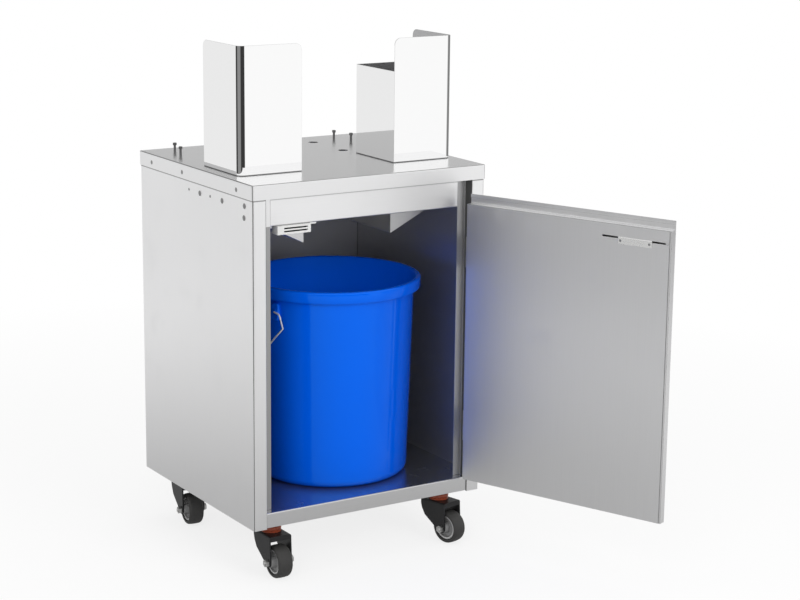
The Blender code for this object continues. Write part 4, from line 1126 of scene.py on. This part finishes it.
def is_fold_line(mesh, side):
    """True for the middle of a square fold, which faces halfway between its two sheets."""
    second, most = sorted(abs(part) for part in side.normal)[1:]
    return width_of(mesh, side) < FOLD_STEP and most - second < HALFWAY


def is_rebate(mesh, side):
    """True for the wall of the door's rebate, beside the stile."""
    return abs(side.normal.x) > SQUARELY and abs(abs(side.center.x) - rebate_x) < CUT_EDGE / 2


def stop_at(edge):
    """A test for the front of the door's stop flange; edge is 1 at the hinges and -1 at the catch."""
    return lambda mesh, side: side.normal.y < -SQUARELY and 0.0 < edge * side.center.x < rebate_x


def is_catch_slot(mesh, side):
    """True for the faces sunk into the front of the catch."""
    level = (side.center.z - catch_low.z) / (catch_high.z - catch_low.z)
    sunk = side.center.y - catch_low.y > SLOT_SUNK
    return sunk and SLOT_LEVELS[0] < level < SLOT_LEVELS[1] and abs(side.normal.x) < MOSTLY


def looking(towards):
    """A test for faces that look one way."""
    return lambda mesh, side: side.normal.dot(Vector(towards)) > MOSTLY


def inside_of(node_name):
    """A test for the upright faces that look towards the middle of an open box."""
    low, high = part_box(node_name)
    centre = (low + high) / 2
    return lambda mesh, side: abs(side.normal.z) < MOSTLY and side.normal.dot(centre - side.center) > 0.0


print("rebate at:", round(rebate_x, 4))

# %% Dressed sheets
LEFT = (-1.0, 0.0, 0.0)
RIGHT = (1.0, 0.0, 0.0)
FORWARD = (0.0, -1.0, 0.0)
REARWARD = (0.0, 1.0, 0.0)
UP = (0.0, 0.0, 1.0)
DOWN = (0.0, 0.0, -1.0)
FINISH_OF_SLOT = {
    "stainless": satin_upright,
    "mirror_stainless": mirror_sheet,
    "zinc": zinc_plate,
    "black_steel": fork_black,
    "white_plastic": catch_white,
}
SPECIAL_FINISH = {
    "top_plate": satin_across,
    "base_tray": rail_sheet,
    "header_rail": satin_header,
    "front_caster_channel": satin_across,
    "rear_caster_channel": satin_across,
    "door_pan": satin_door,
    "door_liner": satin_door,
    "bail_handle": plated_wire,
    "keeper_plate": bright_zinc,
    "left_deflector": deflector_sheet,
    "right_deflector": deflector_sheet,
}
OTHER_FACES = {
    "left_side_panel": (RIGHT, mill_finish_and_shade),
    "right_side_panel": (LEFT, mill_finish_and_shade),
    "back_panel": (FORWARD, mill_finish_and_shade),
    "base_tray": (UP, tray_sheet),
    "top_plate": (UP, worktop_sheet),
}
FOLD_LINED = {"top_plate": fold_line, "left_side_panel": corner_line, "right_side_panel": corner_line}
EDGE_LINED = ("top_plate", "door_pan", "door_liner")

eased_faces = 0
for node_name, slot in slot_of.items():
    if slot not in EASE_OF_SLOT or node_name in STUDS:
        continue
    ease = 0.0 if node_name in KEEP_UNEASED else EASE_OF_SLOT[slot]
    chosen = SPECIAL_FINISH.get(node_name, FINISH_OF_SLOT[slot])
    eased = eased_mesh(node_name, ease)
    piece = put_on(node_name + "_dressed", eased, chosen, body_of[node_name], slot, node_name)
    if slot == "mirror_stainless":
        add_finish(piece, mill_finish_and_shade, inside_of(node_name))
    if node_name in OTHER_FACES:
        towards, other = OTHER_FACES[node_name]
        add_finish(piece, other, looking(towards))
    if node_name in FOLD_LINED:
        add_finish(piece, FOLD_LINED[node_name], is_fold_line)
    if node_name.endswith("side_panel"):
        add_finish(piece, rebate_sheet, is_rebate)
        # The hinge-side stop flange gets the inside's darker sheet: painted shade.
        add_finish(piece, mill_finish_and_shade, stop_at(1))
        add_finish(piece, stop_sheet, stop_at(-1))
    # The catch's sunk slots get painted shade.
    if node_name == "magnetic_catch":
        add_finish(piece, slot_shade_painted, is_catch_slot)
    if slot == "mirror_stainless" or node_name in EDGE_LINED:
        add_finish(piece, cut_edge, is_cut_edge)
    eased_faces += len(eased.polygons)
print("eased faces:", eased_faces)

# %% [markdown]
# ## Fasteners
# Screws hold the worktop's lip and the side panels, rivets close the rear flanges, and hex bolts hold the
# casters. They could be copied by hand one by one. Since they repeat, points carry them: each point stores
# which way its head faces, and one Geometry Nodes tree sets a head on every point. The heads themselves are
# small turned shapes; six steps round give a hexagon.

# %% Fastener tree


def fastener_tree():
    """A head on every point, along the direction stored there."""
    tree, start, end = new_group(
        "GeometryNodeTree", "fastener set",
        [("Points", SHAPE), ("Head", "NodeSocketObject"), ("Finish", FINISH)],
        [("Mesh", SHAPE)],
    )
    stored = add(tree, "GeometryNodeInputNamedAttribute", data_type="FLOAT_VECTOR")
    feed(tree, stored, Name="facing")
    aim = add(tree, "FunctionNodeAlignRotationToVector", axis="Z")
    feed(tree, aim, Vector=stored.outputs[0])
    head = feed(tree, add(tree, "GeometryNodeObjectInfo"), Object=start.outputs["Head"])
    spread = add(tree, "GeometryNodeInstanceOnPoints")
    feed(tree, spread, Points=start.outputs["Points"], Instance=head.outputs["Geometry"],
         Rotation=aim.outputs[0])
    finish_tree(tree, spread, start, end)
    return tree


fastener_set = fastener_tree()


def fasteners(name, places, head_profile, steps, material, body):
    """Sets one kind of head on a list of (point, facing) places and puts the result on a body."""
    head = new_object(name + "_head", turned(name + "_head", head_profile, False, steps, material))
    points = bpy.data.meshes.new(name + "_points")
    points.from_pydata([place for place, facing in places], [], [])
    stored = points.attributes.new("facing", "FLOAT_VECTOR", "POINT")
    for item, (place, facing) in zip(stored.data, places):
        item.vector = facing
    holder = new_object(name + "_points", points)
    modifier = holder.modifiers.new("fasteners", "NODES")
    modifier.node_group = fastener_set
    set_modifier(modifier, Head=head, Finish=material)
    mesh = baked(holder)
    bpy.data.objects.remove(holder)
    bpy.data.objects.remove(head)
    mesh.set_sharp_from_angle(angle=SHARP)
    put_on(name, mesh, material, body, "zinc")
    print(name, len(places))


print("tree:", fastener_set.name)

# %% [markdown]
# ## Screws and rivets on the sides
# Three flush screws hold each end of the worktop's lip, and a row of bolts and rivets holds each side
# panel. They could be placed one by one. Measured from the front edge and down from the worktop, one short
# list of places serves both sides, because the right side mirrors the left one.

# %% Side fasteners
LIP_SCREWS = ((0.060, 0.0164), (0.279, 0.0164), (0.411, 0.0164))
SIDE_BOLTS = ((0.0315, 0.042), (0.033, 0.064), (0.1182, 0.046), (0.2079, 0.046))
SIDE_RIVETS = ((0.1658, 0.0453), (0.2528, 0.0453))
FLUSH = 0.00002
LIP_SCREW_HEAD = (0.0042, FLUSH)
SIDE_BOLT_HEAD = (0.0052, 0.0014)
SIDE_RIVET_HEAD = (0.0026, 0.0008)
SCREW_STEPS = 24
RIVET_STEPS = 16
EMBED = 0.0002
DOME_SHAPE = ((0.0, 1.0), (0.45, 0.93), (0.75, 0.72), (0.93, 0.40), (1.0, 0.18))

panel_low, panel_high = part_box("left_side_panel")
right_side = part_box("right_side_panel")[1].x


def dome(radius, rise):
    """The section of a low dome head, with a small step at its edge."""
    curve = [(out * radius, up * rise) for out, up in DOME_SHAPE]
    return curve + [(radius, -EMBED), (0.0, -EMBED)]


def on_both_sides(pattern, left_x, right_x):
    """Places of a pattern of (from the front, below the worktop) on the left and right faces."""
    places = []
    for inset, drop in pattern:
        places.append(((left_x, panel_low.y + inset, worktop_high.z - drop), LEFT))
        places.append(((right_x, panel_low.y + inset, worktop_high.z - drop), RIGHT))
    return places


lip_places = on_both_sides(LIP_SCREWS, worktop_low.x, worktop_high.x)
bolt_places = on_both_sides(SIDE_BOLTS, panel_low.x, right_side)
rivet_places = on_both_sides(SIDE_RIVETS, panel_low.x, right_side)
fasteners("lip_screws", lip_places, dome(*LIP_SCREW_HEAD), SCREW_STEPS, dull_bolt, "cabinet")
fasteners("side_bolts", bolt_places, dome(*SIDE_BOLT_HEAD), SCREW_STEPS, dull_bolt, "cabinet")
fasteners("side_rivets", rivet_places, dome(*SIDE_RIVET_HEAD), RIVET_STEPS, dull_bolt, "cabinet")

# %% [markdown]
# ## Keeper screws
# Two flush screws hold the keeper plate on the door. The door stands open at a slant, so their places can't
# be read off a box. The plate's own corners are measured along the door and square to it instead.

# %% Keeper screws
KEEPER_SCREW_INSET = 0.005
KEEPER_SCREW_HEAD = (0.0024, FLUSH)

shut_angle = math.radians(joints["door_hinge"]["range_deg"][0])
door_turn = Matrix.Rotation(-shut_angle, 3, "Z")
along_door = door_turn @ Vector(RIGHT)
out_of_liner = door_turn @ Vector(REARWARD)
keeper_points = [vertex.co for vertex in nodes["keeper_plate"].data.vertices]
keeper_face = max(point.dot(out_of_liner) for point in keeper_points)
keeper_ends = [point.dot(along_door) for point in keeper_points]
keeper_height = sum(point.z for point in keeper_points) / len(keeper_points)
keeper_places = []
for end in (min(keeper_ends) + KEEPER_SCREW_INSET, max(keeper_ends) - KEEPER_SCREW_INSET):
    place = along_door * end + out_of_liner * keeper_face
    keeper_places.append(((place.x, place.y, keeper_height), tuple(out_of_liner)))
fasteners("keeper_screws", keeper_places, dome(*KEEPER_SCREW_HEAD), RIVET_STEPS, dull_bolt, "door")

# %% [markdown]
# ## Rear rivets and caster bolts
# Rivets close the back panel into the rear flanges, in two even columns. Four hex bolts hold each caster's
# plate. Fixed places would do for one size of cabinet. These follow from the solids' boxes, so they move
# along when a size changes.

# %% Rear rivets and caster bolts
REAR_RIVET_ROWS = 5
REAR_RIVET_INSET = 0.0075
REAR_RIVET_FOOT = 0.06
REAR_RIVET_TOP = 0.07
REAR_RIVET_HEAD = (0.0032, 0.0009)
PLATE_THICKNESS = 0.003
PLATE_BOLT_INSET = 0.009
HEX_STEPS = 6
HEX_RADIUS = 0.0058
HEX_HEIGHT = 0.004
HEX_EDGE = 0.0006

rear_span = panel_high.z - panel_low.z - REAR_RIVET_FOOT - REAR_RIVET_TOP
rear_places = []
for row in range(REAR_RIVET_ROWS):
    height = panel_low.z + REAR_RIVET_FOOT + rear_span * row / (REAR_RIVET_ROWS - 1)
    for side_x in (panel_low.x + REAR_RIVET_INSET, right_side - REAR_RIVET_INSET):
        rear_places.append(((side_x, panel_high.y, height), REARWARD))
fasteners("rear_rivets", rear_places, dome(*REAR_RIVET_HEAD), RIVET_STEPS, zinc_plate, "cabinet")

plate_places = []
for corner in CORNERS:
    plate_low, plate_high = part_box(corner + "_caster_plate")
    under_plate = plate_high.z - PLATE_THICKNESS
    for bolt_x in (plate_low.x + PLATE_BOLT_INSET, plate_high.x - PLATE_BOLT_INSET):
        for bolt_y in (plate_low.y + PLATE_BOLT_INSET, plate_high.y - PLATE_BOLT_INSET):
            plate_places.append(((bolt_x, bolt_y, under_plate), DOWN))
hex_head = [(0.0, HEX_HEIGHT), (HEX_RADIUS - HEX_EDGE, HEX_HEIGHT), (HEX_RADIUS, HEX_HEIGHT - HEX_EDGE),
            (HEX_RADIUS, -EMBED), (0.0, -EMBED)]
fasteners("caster_bolts", plate_places, hex_head, HEX_STEPS, zinc_plate, "cabinet")
